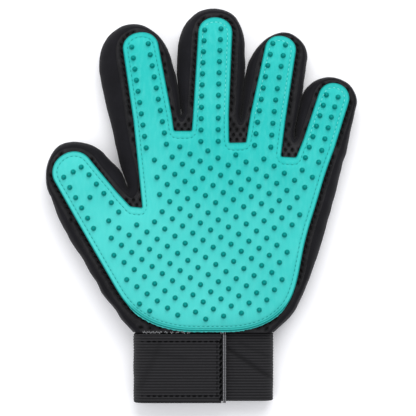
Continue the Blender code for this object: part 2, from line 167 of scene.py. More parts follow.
def resample(pts, step, closed=False):
    """Points evenly spaced along a polyline, keeping both ends."""
    pts = np.asarray(pts, float)
    if closed:
        pts = np.vstack([pts, pts[:1]])
    run = np.r_[0, np.cumsum(np.linalg.norm(np.diff(pts, axis=0), axis=1))]
    n = max(2, int(round(run[-1] / step)) + 1)
    t = np.linspace(0, run[-1], n)
    out = np.stack([np.interp(t, run, pts[:, k]) for k in range(pts.shape[1])], 1)
    return out[:-1] if closed else out


def smooth_line(pts, times=2, keep_ends=True):
    pts = np.array(pts, float)
    for _ in range(times):
        inner = 0.25 * pts[:-2] + 0.5 * pts[1:-1] + 0.25 * pts[2:]
        pts = np.vstack([pts[:1], inner, pts[-1:]])
    return pts


def spline(pts, per=10):
    """Catmull-Rom curve through the points."""
    pts = np.asarray(pts, float)
    ext = np.vstack([2 * pts[0] - pts[1], pts, 2 * pts[-1] - pts[-2]])
    out = []
    for k in range(1, len(ext) - 2):
        a, b, c, d = ext[k - 1:k + 3]
        for t in np.arange(per) / per:
            out.append(0.5 * (2 * b + (c - a) * t + (2 * a - 5 * b + 4 * c - d) * t * t
                              + (3 * b - a - 3 * c + d) * t ** 3))
    return np.vstack([out, pts[-1:]])


def inside(pts, poly):
    """Even-odd test of many points against one polygon."""
    x, y = pts[:, :1], pts[:, 1:2]
    a, b = poly, np.roll(poly, -1, axis=0)
    cross = (a[:, 1] > y) != (b[:, 1] > y)
    with np.errstate(divide="ignore", invalid="ignore"):
        at = a[:, 0] + (y - a[:, 1]) / (b[:, 1] - a[:, 1]) * (b[:, 0] - a[:, 0])
    return (np.sum(cross & (x < at), axis=1) % 2) == 1


def distance(pts, lines):
    """Distance of each point to a list of open polylines."""
    seg_a = np.vstack([l[:-1] for l in lines])
    seg_d = np.vstack([l[1:] - l[:-1] for l in lines])
    size = np.maximum((seg_d ** 2).sum(1), 1e-12)
    out = np.empty(len(pts))
    for k in range(0, len(pts), 2000):
        p = pts[k:k + 2000, None, :] - seg_a[None]
        t = np.clip((p * seg_d[None]).sum(2) / size, 0, 1)
        out[k:k + 2000] = np.sqrt(((p - seg_d[None] * t[..., None]) ** 2).sum(2).min(1))
    return out


def smoothstep(x, a, b):
    t = np.clip((np.asarray(x, float) - a) / (b - a), 0, 1)
    return t * t * (3 - 2 * t)


# ------------------------------------------------------------------ outlines
def pad_edge(f, grow=(0.0, 0.0, 0.0)):
    l0, l1, r0, r1, length, curve = f["pad"]
    curve += max(grow) * 0.8
    return place(f, tube_outline((l0 + grow[0], l1 + grow[0], curve),
                                 (r0 + grow[1], r1 + grow[1], curve),
                                 f["line"], length + grow[2], (r1 - l1) / 2, 2.1))


def root(f, side):
    """Outer edge and mesh-panel edge where the bending line meets one side of a finger."""
    k, p = (0, 0) if side < 0 else (1, 2)
    half = (f["left"], f["right"])[k][0]
    shown = max(BAND_LEAST, half - f["pad"][p] - f["mesh"][k])
    return place(f, [(side * half, f["line"]), (side * (half - shown), f["line"])])


def finger_run(f):
    """Silhouette of a finger and the matching points of its mesh panel's edge."""
    edge = place(f, tube_outline(f["left"], f["right"], f["line"], f["length"], f["tip"],
                                 f["power"]))
    rim = pad_edge(f, f["mesh"])
    ends = (root(f, -1), root(f, 1))
    shown, inward = [], []
    for k in range(1, len(edge) - 1):
        run = edge[k + 1] - edge[k - 1]
        n = np.array((run[1], -run[0])) / np.linalg.norm(run)
        p, reach = Vector(edge[k]), BAND_LEAST
        for a, b in zip(rim, rim[1:]):
            hit = geometry.intersect_line_line_2d(p, p + Vector(n) * BAND_MOST, Vector(a),
                                                  Vector(b))
            if hit is not None:
                reach = max(reach, (hit - p).length)
        shown.append(reach)
        inward.append(n)
    first = np.linalg.norm(ends[0][1] - ends[0][0])
    last = np.linalg.norm(ends[1][1] - ends[1][0])
    shown = smooth_line(np.r_[first, shown, last][:, None], 8)[1:-1, 0]
    panel = edge[1:-1] + np.array(inward) * shown[:, None]
    return edge, np.vstack([ends[0][1], panel, ends[1][1]])


def paired(pairs, per=8):
    pairs = np.array([np.ravel(p) for p in pairs])
    line = spline(pairs, per)
    return line[:, :2], line[:, 2:]


RUNS = {}                                   # name: (silhouette, panel edge)
for key in BODIES:
    RUNS[key] = finger_run(FINGERS[key])
RUNS["side_thumb"] = paired(list(reversed(THUMB_SIDE)) + [root(FINGERS["thumb"], -1)])
for a, b, mids in CROTCHES:
    RUNS[a + "_" + b] = paired([root(FINGERS[a], 1)] + mids + [root(FINGERS[b], -1)])
RUNS["side_little"] = paired([root(FINGERS["little"], 1)] + LITTLE_SIDE)
ORDER = ["side_thumb", "thumb", "thumb_index", "index", "index_middle", "middle",
         "middle_ring", "ring", "ring_little", "little", "side_little"]

# the loose cloth near the wrist is a little wavy
edge, panel = RUNS["side_thumb"]
wave = 0.55 * np.sin(edge[:, 1] / 2.6) * smoothstep(-edge[:, 1], 12, 24)
edge += ((edge - panel) / np.linalg.norm(edge - panel, axis=1)[:, None]) * (
    wave * smoothstep(np.arange(len(edge)), 0, 4))[:, None]



def press_together():
    """Neighbouring tubes lie against each other low down: widen each to half the gap."""
    counts = [len(RUNS[k][0]) for k in ORDER]
    line = np.vstack([RUNS[k][0] for k in ORDER])
    inner = np.vstack([RUNS[k][1] for k in ORDER])
    run = np.r_[0, np.cumsum(np.linalg.norm(np.diff(line, axis=0), axis=1))]
    outward = line - inner
    outward /= np.linalg.norm(outward, axis=1)[:, None]
    push = np.zeros(len(line))
    for k, p in enumerate(line):
        d = line - p
        far = np.linalg.norm(d, axis=1)
        facing = (d @ outward[k]) / np.maximum(far, 1e-6) > 0.55
        ok = facing & (np.abs(run - run[k]) > 2.2) & (far < 6.5)
        if ok.any():
            gap = far[ok].min()
            near = math.exp(-((p[0] + 46.5) ** 2 + (p[1] - 37) ** 2) / 49)
            touch = TOUCH + 2.0 * near           # the thumb's web of cloth closes further up
            push[k] = (gap / 2 + 0.03) * (1 - smoothstep(gap, touch, touch + 3.2))
    push = smooth_line(push[:, None], 14)[:, 0]
    at = 0
    for key, count in zip(ORDER, counts):
        RUNS[key] = (RUNS[key][0] + outward[at:at + count] * push[at:at + count, None],
                     RUNS[key][1])
        at += count


TOUCH = 0.9                 # gaps narrower than this close up
press_together()
SILHOUETTE = [RUNS[k][0] for k in ORDER]
PANEL_EDGE = [RUNS[k][1] for k in ORDER]


def hinge_line(f, left, right, marks=()):
    """Points along a finger's bending line from u=left to u=right, both ends included."""
    n = int(round((right - left) / 1.1))
    us = sorted(set(np.round(np.linspace(left, right, n + 1), 4)) | set(marks))
    keep = [us[0]]
    for u in us[1:]:
        if u - keep[-1] > 0.2 or u == us[-1]:
            keep.append(u)
    if keep[-1] - keep[-2] < 0.15:
        keep.pop(-2)
    return place(f, [(u, f["line"]) for u in keep])


def rounded(points, radius=1.6, steps=4):
    """Polyline with its inner corners rounded."""
    points = [np.array(p, float) for p in points]
    out = [points[0]]
    for a, b, c in zip(points, points[1:], points[2:]):
        r = min(radius, np.linalg.norm(a - b) / 2.2, np.linalg.norm(c - b) / 2.2)
        p, q = b + (a - b) / np.linalg.norm(a - b) * r, b + (c - b) / np.linalg.norm(c - b) * r
        for t in np.arange(steps + 1) / steps:
            out.append(p * (1 - t) ** 2 + b * 2 * t * (1 - t) + q * t * t)
    return np.array(out + [points[-1]])


def pad_foot(name, side):
    f = FINGERS[name]
    return place(f, [(-f["pad"][0] if side < 0 else f["pad"][2], f["line"])])[0]


# open stretches of the palm pad's edge, between one finger's root and the next
PAD_STRETCHES = []
names = list(BODIES)
for a, b in zip(names, names[1:]):
    PAD_STRETCHES.append(resample(rounded([pad_foot(a, 1), *NOTCHES[a], pad_foot(b, -1)], 0.8),
                                  0.7))
lower = [pad_foot("little", 1), *PAD_RIGHT]
lower = np.vstack([spline(lower, 6), PAD_CORNER_R[0], PAD_CORNER_R[1], PAD_BOTTOM[0],
                   PAD_BOTTOM[1], PAD_CORNER_L[0], PAD_CORNER_L[1], PAD_LEFT[0], PAD_LEFT[1],
                   pad_foot("thumb", -1)])
PAD_STRETCHES.append(resample(smooth_line(resample(lower, 2.0), 14), 1.2))
FINGER_PADS = {}
for key in BODIES:
    f = FINGERS[key]
    line = pad_edge(f)
    FINGER_PADS[key] = np.vstack([line[:1], resample(line, 1.0)[1:-1], line[-1:]])
PAD_EDGE = []
for k, key in enumerate(BODIES):
    PAD_EDGE += [FINGER_PADS[key], PAD_STRETCHES[k]]
PAD_LOOP = np.vstack([l[:-1] for l in PAD_EDGE])


# ------------------------------------------------------------------ gentle relief of the cloth
X0, Y0, GRID = -100.0, -100.0, 1.0
gx, gy = np.meshgrid(np.arange(X0, 101, GRID), np.arange(Y0, 151, GRID))
cells = np.stack([gx.ravel(), gy.ravel()], 1)
far = distance(cells, SILHOUETTE).reshape(gx.shape)
crown = 1.7 * (1 - np.exp(-(far / 11.0) ** 2))
for _ in range(6):
    pad2 = np.pad(crown, 1, mode="edge")
    crown = (pad2[:-2, 1:-1] + pad2[2:, 1:-1] + pad2[1:-1, :-2] + pad2[1:-1, 2:]
             + 4 * crown) / 8
roll = np.array([noise.noise(Vector((x * 0.022, y * 0.022, 3.1))) * 1.3
                 + noise.noise(Vector((x * 0.06, y * 0.06, 8.7))) * 0.45
                 for x, y in cells]).reshape(gx.shape)
RELIEF = crown + roll * smoothstep(far, 1, 9)


def relief(pts):
    """Height the cloth's upper side gains at each point of the plan."""
    fx = np.clip((pts[:, 0] - X0) / GRID, 0, RELIEF.shape[1] - 1.001)
    fy = np.clip((pts[:, 1] - Y0) / GRID, 0, RELIEF.shape[0] - 1.001)
    ix, iy = fx.astype(int), fy.astype(int)
    tx, ty = fx - ix, fy - iy
    g = RELIEF
    return ((g[iy, ix] * (1 - tx) + g[iy, ix + 1] * tx) * (1 - ty)
            + (g[iy + 1, ix] * (1 - tx) + g[iy + 1, ix + 1] * tx) * ty)


def lift(verts):
    """Apply the relief: full at the palm side, none on the table."""
    verts = np.array(verts, float)
    to_cuff = smoothstep(verts[:, 1], -50.5, -38.0)
    verts[:, 2] += relief(verts[:, :2]) * np.clip(verts[:, 2] / TUBE, 0, 1) * to_cuff
    return verts


# ------------------------------------------------------------------ mesh building
def make(name, verts, faces, material, marks=None, smooth=True):
    mesh = bpy.data.meshes.new(name)
    verts = np.asarray(verts, float)
    mesh.from_pydata((verts * 0.001).tolist(), [], [tuple(int(i) for i in f) for f in faces])
    mesh.validate()
    obj = bpy.data.objects.new(name, mesh)
    bpy.context.collection.objects.link(obj)
    mesh.materials.append(material)
    if smooth:
        mesh.shade_smooth()
        mesh.set_sharp_from_angle(angle=math.radians(52))
    if len(mesh.vertices) == len(verts):
        rest = mesh.attributes.new("rest", "FLOAT_VECTOR", "POINT")
        rest.data.foreach_set("vector", verts.astype(np.float32).ravel())
        if marks is not None:
            mark = mesh.attributes.new("mark", "FLOAT", "POINT")
            mark.data.foreach_set("value", np.asarray(marks, np.float32))
    return obj


class Build:
    """Collects vertices, faces and one shading value per vertex."""

    def __init__(self):
        self.verts, self.faces, self.marks = [], [], []

    def add(self, pts, mark=0.0):
        start = len(self.verts)
        self.verts += [tuple(p) for p in pts]
        self.marks += [mark] * len(pts)
        return list(range(start, len(self.verts)))

    def ring(self, a, b, closed=True):
        n = len(a)
        for k in range(n if closed else n - 1):
            m = (k + 1) % n
            self.faces.append((a[k], a[m], b[m], b[k]))

    def make(self, name, material, slot, raise_it=True, smooth=True):
        verts = lift(self.verts) if raise_it else np.array(self.verts)
        return make(name, verts, self.faces, material, self.marks, smooth)


def spread(outline, gap, keep_off, rows=(), extra=None):
    """Loose points for a plate: an even grid over the outline's box, every other row shifted, kept inside the outline.
    """
    lo, hi = outline.min(0), outline.max(0)
    xs, ys = np.meshgrid(np.arange(lo[0], hi[0], gap), np.arange(lo[1], hi[1], gap * 0.87))
    xs = xs + (np.arange(xs.shape[0])[:, None] % 2) * gap / 2
    pts = np.stack([xs.ravel(), ys.ravel()], 1)
    return pts[inside(pts, outline)]


def offset_rows(line, depths):
    """Rows of points beside a polyline, to the right of its direction of travel."""
    run = np.gradient(line, axis=0)
    n = np.stack([run[:, 1], -run[:, 0]], 1)
    n /= np.maximum(np.linalg.norm(n, axis=1), 1e-9)[:, None]
    return [line + n * d for d in depths]


def plate(outline, features, loose, edges, top, low, up=True):
    """Closed sheet over an outline.

    features: list of rings-of-rings; each is [(loop xy, dz, mark), ...] from the foot inward.
    top(pts) gives the face's height, low the other face's height.
    """
    outline = np.asarray(outline, float)
    n = len(outline)
    pts = [Vector(p) for p in outline]
    loops = [list(range(n))]
    owner = [-1] * n
    for j, rings in enumerate(features):
        loop = rings[0][0]
        loops.append(list(range(len(pts), len(pts) + len(loop))))
        owner += [j] * len(loop)
        pts += [Vector(p) for p in loop]
    if len(loose):
        gap_ok = distance(loose, edges + [outline[[k, (k + 1) % n]] for k in range(n)]) > 0.12
        loose = loose[gap_ok]
        if features:
            centres = np.array([np.mean(r[0][0], axis=0) for r in features])
            radii = np.array([np.linalg.norm(np.asarray(r[0][0]) - c, axis=1).max()
                              for r, c in zip(features, centres)]) + 0.18
            keep = np.ones(len(loose), bool)
            for k in range(0, len(loose), 2000):
                d = np.linalg.norm(loose[k:k + 2000, None] - centres[None], axis=2)
                keep[k:k + 2000] = (d > radii[None]).all(1)
            loose = loose[keep]
        pts += [Vector(p) for p in loose]
        owner += [-1] * len(loose)
    verts, _, faces, origin, _, _ = geometry.delaunay_2d_cdt(pts, [], loops, 1, 1e-6)
    new = {}
    for k, src in enumerate(origin):
        for s in src:
            new[s] = k
    flat = np.array([(v.x, v.y) for v in verts])
    who = np.full(len(verts), -1)
    for s, k in new.items():
        if owner[s] >= 0:
            who[k] = owner[s]
    b = Build()
    z = top(flat)
    ids = b.add(np.c_[flat, z])
    for tri in faces:
        o = {int(who[k]) for k in tri}
        if len(o) == 1 and -1 not in o:
            continue
        b.faces.append(tuple(tri) if up else tuple(reversed(tri)))
    at = n
    for rings in features:
        count = len(rings[0][0])
        last = [new[at + k] for k in range(count)]
        at += count
        base = float(np.mean([z[k] for k in last]))
        for loop, dz, mark in rings[1:]:
            if len(loop) == 1:
                tip = b.add([(loop[0][0], loop[0][1], base + dz)], mark)[0]
                for k in range(count):
                    tri = (last[k], last[(k + 1) % count], tip)
                    b.faces.append(tri if up else tri[::-1])
                break
            here = b.add([(p[0], p[1], base + dz) for p in loop], mark)
            for k in range(count):
                m = (k + 1) % count
                quad = (last[k], last[m], here[m], here[k])
                b.faces.append(quad if up else quad[::-1])
            last = here
    # side wall and far face
    rim = [new[k] for k in range(n)]
    below = b.add([(p[0], p[1], low) for p in outline])
    area = np.sum(outline[:, 0] * np.roll(outline[:, 1], -1)
                  - outline[:, 1] * np.roll(outline[:, 0], -1))
    turn = (area > 0) == up
    for k in range(n):
        m = (k + 1) % n
        quad = (rim[m], rim[k], below[k], below[m])
        b.faces.append(quad if turn else quad[::-1])
    far = spread(outline, 2.0, None)                         # inner points on the far face as well
    far = far[inside(far, outline)]
    far = far[distance(far, [np.vstack([outline, outline[:1]])]) > 0.5]
    below = list(below) + list(b.add([(p[0], p[1], low) for p in far]))
    _, _, tris, src, _, _ = geometry.delaunay_2d_cdt([Vector(p) for p in np.vstack([outline, far])],
                                                    [], [list(range(n))], 1, 1e-6)
    back = {}
    for k, s in enumerate(src):
        back[k] = below[s[0]]
    for tri in tris:
        tri = [back[k] for k in tri]
        b.faces.append(tuple(reversed(tri)) if up else tuple(tri))
    return b


# ------------------------------------------------------------------ materials
def material(name, colour, rough, slot_values=None):
    mat = bpy.data.materials.new(name)
    mat.use_nodes = True
    tree = mat.node_tree
    shader = tree.nodes["Principled BSDF"]
    shader.inputs["Base Color"].default_value = (*colour, 1)
    shader.inputs["Roughness"].default_value = rough
    for key, value in (slot_values or {}).items():
        shader.inputs[key].default_value = value
    return mat, tree, shader


def node(tree, kind, **values):
    n = tree.nodes.new(kind)
    for key, value in values.items():
        if key in n.inputs:
            n.inputs[key].default_value = value
        else:
            setattr(n, key, value)
    return n


def coords(tree, scale=(1, 1, 1), turn=(0, 0, 0)):
    """The point's place on the resting glove, in millimetres."""
    a = node(tree, "ShaderNodeAttribute", attribute_name="rest")
    m = node(tree, "ShaderNodeMapping", Scale=scale, Rotation=turn)
    tree.links.new(a.outputs["Vector"], m.inputs["Vector"])
    return m.outputs["Vector"]


def ramp(tree, value, low, high, a, b):
    r = node(tree, "ShaderNodeValToRGB")
    r.color_ramp.elements[0].position = low
    r.color_ramp.elements[1].position = high
    r.color_ramp.elements[0].color = (*a, 1)
    r.color_ramp.elements[1].color = (*b, 1)
    tree.links.new(value, r.inputs["Fac"])
    return r.outputs["Color"]


def mix(tree, fac, a, b, how="MIX"):
    m = node(tree, "ShaderNodeMixRGB", blend_type=how)
    for socket, value in ((m.inputs["Fac"], fac), (m.inputs["Color1"], a),
                          (m.inputs["Color2"], b)):
        if isinstance(value, (int, float)):
            socket.default_value = value
        elif isinstance(value, tuple):
            socket.default_value = (*value, 1)
        else:
            tree.links.new(value, socket)
    return m.outputs["Color"]


def bump(tree, shader, height, distance_mm, strength=1.0, after=None):
    n = node(tree, "ShaderNodeBump", Strength=strength, Distance=distance_mm * 0.001)
    tree.links.new(height, n.inputs["Height"])
    if after is not None:
        tree.links.new(after, n.inputs["Normal"])
    tree.links.new(n.outputs["Normal"], shader.inputs["Normal"])
    return n.outputs["Normal"]


def rubber_material():
    mat, t, s = material("turquoise_rubber", (0.05, 0.52, 0.48), 0.45,
                         {"Subsurface Weight": 0.08, "Subsurface Scale": 0.0015,
                          "Specular IOR Level": 0.06})
    s.inputs["Subsurface Radius"].default_value = (0.3, 1.0, 0.9)
    # painted sheen: the rubber is paler towards the lower left of the plan and deeper towards the fingertips, a
    # gradient with large noise on top
    place_mm = node(t, "ShaderNodeSeparateXYZ")
    t.links.new(coords(t), place_mm.inputs["Vector"])
    up = node(t, "ShaderNodeMath", operation="MULTIPLY")
    up.inputs[1].default_value = 0.0052
    t.links.new(place_mm.outputs["Y"], up.inputs[0])
    across = node(t, "ShaderNodeMath", operation="MULTIPLY_ADD")
    across.inputs[1].default_value = 0.0030
    t.links.new(place_mm.outputs["X"], across.inputs[0])
    t.links.new(up.outputs["Value"], across.inputs[2])
    big = node(t, "ShaderNodeTexNoise", Scale=0.024, Detail=3.0)
    t.links.new(coords(t), big.inputs["Vector"])
    sheen_gradient = node(t, "ShaderNodeMath", operation="ADD")
    t.links.new(across.outputs["Value"], sheen_gradient.inputs[0])
    t.links.new(big.outputs["Fac"], sheen_gradient.inputs[1])
    tone = ramp(t, sheen_gradient.outputs["Value"], 0.35, 1.15, PAD_PAINTED_SHEEN, PAD_DEEP)
    # painted highlight: fine streaks of paler teal mixed over the rubber
    fine = node(t, "ShaderNodeTexNoise", Scale=0.35, Detail=4.0)
    t.links.new(coords(t, (1.6, 0.5, 1.0)), fine.inputs["Vector"])
    tone = mix(t, ramp(t, fine.outputs["Fac"], 0.45, 0.75, (0, 0, 0), (0.22, 0.22, 0.22)), tone,
               (0.12, 0.66, 0.61))
    # the mark darkens the rubber: painted shade on the nub walls and feet, along the rim, in the lower groove, the
    # stitch channel and the needle holes; on the nubs it is also the thicker rubber's deeper tone
    mark = node(t, "ShaderNodeAttribute", attribute_name="mark")
    tone = mix(t, mark.outputs["Fac"], tone, PAD_DARK)
    t.links.new(tone, s.inputs["Base Color"])
    grain = node(t, "ShaderNodeTexNoise", Scale=6.0, Detail=3.0)
    t.links.new(coords(t), grain.inputs["Vector"])
    rough = node(t, "ShaderNodeMapRange")
    rough.inputs["To Min"].default_value = 0.38
    rough.inputs["To Max"].default_value = 0.56
    t.links.new(grain.outputs["Fac"], rough.inputs["Value"])
    t.links.new(rough.outputs["Result"], s.inputs["Roughness"])
    skin = node(t, "ShaderNodeTexNoise", Scale=1.3, Detail=3.0)
    t.links.new(coords(t), skin.inputs["Vector"])
    bump(t, s, mix(t, 0.6, grain.outputs["Fac"], skin.outputs["Fac"]), 0.10, 0.6)
    return mat


# pale teal of the painted sheen, the rubber's deeper teal, and the dark teal of painted shade and of the nubs' thicker
# rubber
PAD_PAINTED_SHEEN, PAD_DEEP, PAD_DARK = (0.068, 0.572, 0.530), (0.024, 0.475, 0.440), (0.0, 0.225, 0.203)


def knit_material(name, dark, light, scale, depth, rough=0.8, sheen=0.25, holes=False):
    """Black knitted cloth: rows of tiny loops, with a slight fuzz."""
    mat, t, s = material(name, light, rough, {"Sheen Weight": sheen, "Sheen Roughness": 0.4,
                                              "Specular IOR Level": 0.2})
    loops = node(t, "ShaderNodeTexVoronoi", Scale=scale, Randomness=0.35)
    t.links.new(coords(t, (1.0, 0.62, 1.0)), loops.inputs["Vector"])
    fuzz = node(t, "ShaderNodeTexNoise", Scale=scale * 1.6, Detail=3.0)
    t.links.new(coords(t), fuzz.inputs["Vector"])
    cloud = node(t, "ShaderNodeTexNoise", Scale=0.09, Detail=3.0)
    t.links.new(coords(t), cloud.inputs["Vector"])
    tone = ramp(t, loops.outputs["Distance"], 0.1, 0.75, light, dark)
    tone = mix(t, ramp(t, cloud.outputs["Fac"], 0.35, 0.7, (0, 0, 0), (0.45, 0.45, 0.45)), tone,
               tuple(c * 1.5 for c in light))
    # with holes, the mark darkens the netting to near black: painted shade in its pits and between its strands
    if holes:
        mark = node(t, "ShaderNodeAttribute", attribute_name="mark")
        tone = mix(t, mark.outputs["Fac"], tone, (0.0015, 0.0015, 0.0018))
    t.links.new(tone, s.inputs["Base Color"])
    height = mix(t, 0.35, loops.outputs["Distance"], fuzz.outputs["Fac"])
    bump(t, s, height, depth, 0.8)
    return mat


def webbing_material():
    mat, t, s = material("ribbed_webbing", (0.02, 0.019, 0.021), 0.82,
                         {"Sheen Weight": 0.05, "Specular IOR Level": 0.2})
    weave = node(t, "ShaderNodeTexWave", Scale=0.62, Distortion=0.6, Detail=1.0)
    weave.inputs["Detail Scale"].default_value = 2.0
    t.links.new(coords(t), weave.inputs["Vector"])
    fuzz = node(t, "ShaderNodeTexNoise", Scale=4.0, Detail=4.0)
    t.links.new(coords(t, (0.35, 1.6, 1.0)), fuzz.inputs["Vector"])
    tone = ramp(t, fuzz.outputs["Fac"], 0.3, 0.75, (0.0145, 0.0141, 0.0157), (0.031, 0.0304, 0.033))
    # painted shade: the mark darkens the webbing in the grooves between its ribs and in its creases
    mark = node(t, "ShaderNodeAttribute", attribute_name="mark")
    tone = mix(t, mark.outputs["Fac"], tone, (0.0064, 0.0062, 0.0070))
    t.links.new(tone, s.inputs["Base Color"])
    bump(t, s, mix(t, 0.5, weave.outputs["Fac"], fuzz.outputs["Fac"]), 0.12, 0.7)
    return mat


def fibre_material(name, dark, light, scale=3.0, rough=0.7, sheen=0.1, marked=False, shine=0.5):
    """Thread, tape and pile: streaky fibres."""
    mat, t, s = material(name, light, rough, {"Sheen Weight": sheen, "Specular IOR Level": shine})
    streak = node(t, "ShaderNodeTexNoise", Scale=scale, Detail=4.0)
    t.links.new(coords(t, (1.0, 2.4, 1.0)), streak.inputs["Vector"])
    tone = ramp(t, streak.outputs["Fac"], 0.3, 0.7, dark, light)
    if marked:
        mark = node(t, "ShaderNodeAttribute", attribute_name="mark")
        tone = mix(t, mark.outputs["Fac"], tone, (0.006, 0.006, 0.007))
    t.links.new(tone, s.inputs["Base Color"])
    bump(t, s, streak.outputs["Fac"], 0.08, 0.6)
    return mat


RUBBER = rubber_material()
JERSEY = knit_material("smooth_jersey", (0.0022, 0.0021, 0.0030), (0.0066, 0.0062, 0.0086),
                       3.2, 0.05, 0.85, 0.04)
MESH = knit_material("air_mesh", (0.0052, 0.0050, 0.0058), (0.034, 0.033, 0.0355), 2.2, 0.12,
                     0.8, 0.05, holes=True)
WEBBING = webbing_material()
# the pale copy of the turquoise thread is a painted highlight
HIGHLIT_THREAD = fibre_material("thread_painted_highlight", (0.06, 0.50, 0.46), (0.22, 0.74, 0.69))
THREAD = fibre_material("turquoise_thread", (0.0, 0.16, 0.145), (0.005, 0.30, 0.27), shine=0.1)
DARK_THREAD = fibre_material("black_thread", (0.0008, 0.0008, 0.0009), (0.0032, 0.0032, 0.0036), rough=0.95, sheen=0.0,
                             shine=0.03)
WHITE_THREAD = fibre_material("white_thread", (0.16, 0.16, 0.17), (0.48, 0.48, 0.49))
BINDING = fibre_material("grey_binding", (0.15, 0.15, 0.16), (0.48, 0.48, 0.50), marked=True)
HOOKS = fibre_material("hook_pile", (0.006, 0.006, 0.007), (0.025, 0.025, 0.027), 2.0, 0.5)
LOOPS = fibre_material("loop_pile", (0.006, 0.006, 0.007), (0.022, 0.022, 0.024), 1.4, 0.95, 0.5)


# ------------------------------------------------------------------ riding
HINGES = {j["child"]: j for j in frame["joints"]}
BEND = 12.0                                 # length of the cloth that a finger's bend takes up


def half_surface(obj):
    """One face of a closed thin mesh, in square metres: the cloth that it takes."""
    return sum(f.area for f in obj.data.polygons) / 2


def length_of(line):
    return float(np.linalg.norm(np.diff(line, axis=0), axis=1).sum())


def attach(obj, body):
    """Palm pieces ride with the palm; other pieces only have their placement baked into the mesh."""
    if body == "palm":
        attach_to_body(obj, "palm")
        return
    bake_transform(obj)


# ------------------------------------------------------------------ smooth bands
TOP_TURNS = (90, 84, 77, 69, 61, 53, 45, 37, 29, 22, 15, 8, 0)
LOW_TURNS = (8, 16, 25, 35, 45, 55, 65, 75, 83, 90)


def section(edge, panel, k, pucker=0.0):
    inward = panel - edge
    wide = float(np.linalg.norm(inward))
    inward = inward / wide

    def point(depth, thin, sign, a):
        a = math.radians(a)
        d = depth - (depth - thin) * math.cos(a)
        z = MID + sign * (MID - thin) * math.sin(a)
        return d, z

    pts = []
    for a in TOP_TURNS:
        d, z = point(wide, 0.0, 1, a)
        seam = 0.45 * math.exp(-((wide - d) / 0.9) ** 2)     # dips into the seam with the mesh
        pts.append((d, z - seam))
    for a in LOW_TURNS:
        pts.append(point(BACK_INSET, 0.0, -1, a))
    for a in (90, 60, 30, 0):
        pts.append(point(BACK_INSET, 1.2, -1, a))
    for a in (30, 60, 90):
        pts.append(point(wide, min(1.2, wide * 0.6), 1, a))
    out = []
    count = len(TOP_TURNS) + len(LOW_TURNS)
    for j, (d, z) in enumerate(pts):
        p = edge + inward * d
        if 0 < j < count - 1:                                # faint puckers and folds
            fade = min(1.0, j / 4, (count - 1 - j) / 3)
            w = noise.noise(Vector((p[0] * 0.16, p[1] * 0.16, z * 0.05))) * 0.55
            w += noise.noise(Vector((p[0] * 0.45, p[1] * 0.45, z * 0.1 + 5))) * 0.2
            fold = smoothstep(-p[1], 8, 26) * 0.5 * math.sin(d * 1.5 + p[1] * 0.05)
            crease = pucker * math.sin(k * 2.3 + 0.5 * math.sin(d)) * math.sin(
                math.pi * min(1.0, d / wide)) ** 0.7
            p = p + inward * (w * 0.5 * fade)
            z += (w * 0.6 + (fold + crease) * (z > MID)) * fade
        out.append((p[0], p[1], z))
    return out


def band(name, edge, panel, body, replaced, pucker=0.0):
    b = Build()
    last = None
    for k in range(len(edge)):
        ends = min(1.0, k / 4, (len(edge) - 1 - k) / 4)
        ring = b.add(section(edge[k], panel[k], k, pucker * ends))
        if last:
            b.ring(last, ring)
        else:
            b.faces.append(tuple(ring))
        last = ring
    b.faces.append(tuple(reversed(last)))
    obj = b.make(name, JERSEY, "jersey")
    attach(obj, body)
    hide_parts(replaced)
    run, area = length_of(edge) * 0.001, half_surface(obj)
    if run > 0.01:                                           # the width is only worked out for bands longer than 10 mm
        wide = max(length_of(np.array(section(e, q, 0) + section(e, q, 0)[:1])) / 2000
                   for e, q in zip(edge[::4], panel[::4]))
    return obj


def densify(edge, panel, step=1.1):
    both = resample(np.hstack([edge, panel]), step * 1.4)
    return both[:, :2], both[:, 2:]


for key in ORDER:
    edge, panel = densify(*RUNS[key])
    RUNS[key] = (edge, panel)
    if key in BODIES:
        band("knit_band_" + key, edge, panel, key, "side_band_" + key)
    elif key.startswith("side"):
        band("knit_" + key, edge, panel, "palm", "palm_" + key)
    else:
        band("knit_crotch_" + key, edge, panel, "palm", "crotch_" + key,
             0.15 if key == "thumb_index" else 0.5)
PANEL_EDGE = [RUNS[k][1] for k in ORDER]


# ------------------------------------------------------------------ air mesh panels
def hole_rings(hole):
    """A pit through the netting: hole is (x, y, direction of its long axis, half-sizes)."""
    x, y, turn, rx, ry = hole
    ca, sa = math.cos(turn), math.sin(turn)
    out = []
    # the last column is the painted shade of the pit, from its lip down to its floor
    for grow, dz, mark in ((1.28, 0.0, 0.30), (1.10, -0.07, 0.50), (1.0, -0.45, 0.95),
                           (0.94, -0.95, 1.0)):
        loop = []
        for a in np.arange(8) * math.pi / 4:
            u, v = rx * grow * math.cos(a), ry * grow * math.sin(a)
            loop.append((x + u * ca - v * sa, y + u * sa + v * ca))
        out.append((loop, dz, mark))
    out.append(([(x, y)], -1.0, 1.0))
    return out


def strands(pts, holes):
    """Height of the rounded netting between the holes."""
    best = np.full(len(pts), 9.0)
    for k in range(0, len(pts), 1500):
        d = pts[k:k + 1500, None] - holes[None, :, :2]
        ca, sa = np.cos(holes[:, 2]), np.sin(holes[:, 2])
        u = (d[..., 0] * ca + d[..., 1] * sa) / holes[:, 3]
        v = (d[..., 1] * ca - d[..., 0] * sa) / holes[:, 4]
        best[k:k + 1500] = np.sqrt((u * u + v * v).min(1))
    return 0.34 * smoothstep(best, 1.25, 2.1) - 0.12 * smoothstep(best, 2.4, 3.4)


def flip_rings(rings):
    return [(loop, -dz, mark) for loop, dz, mark in rings]


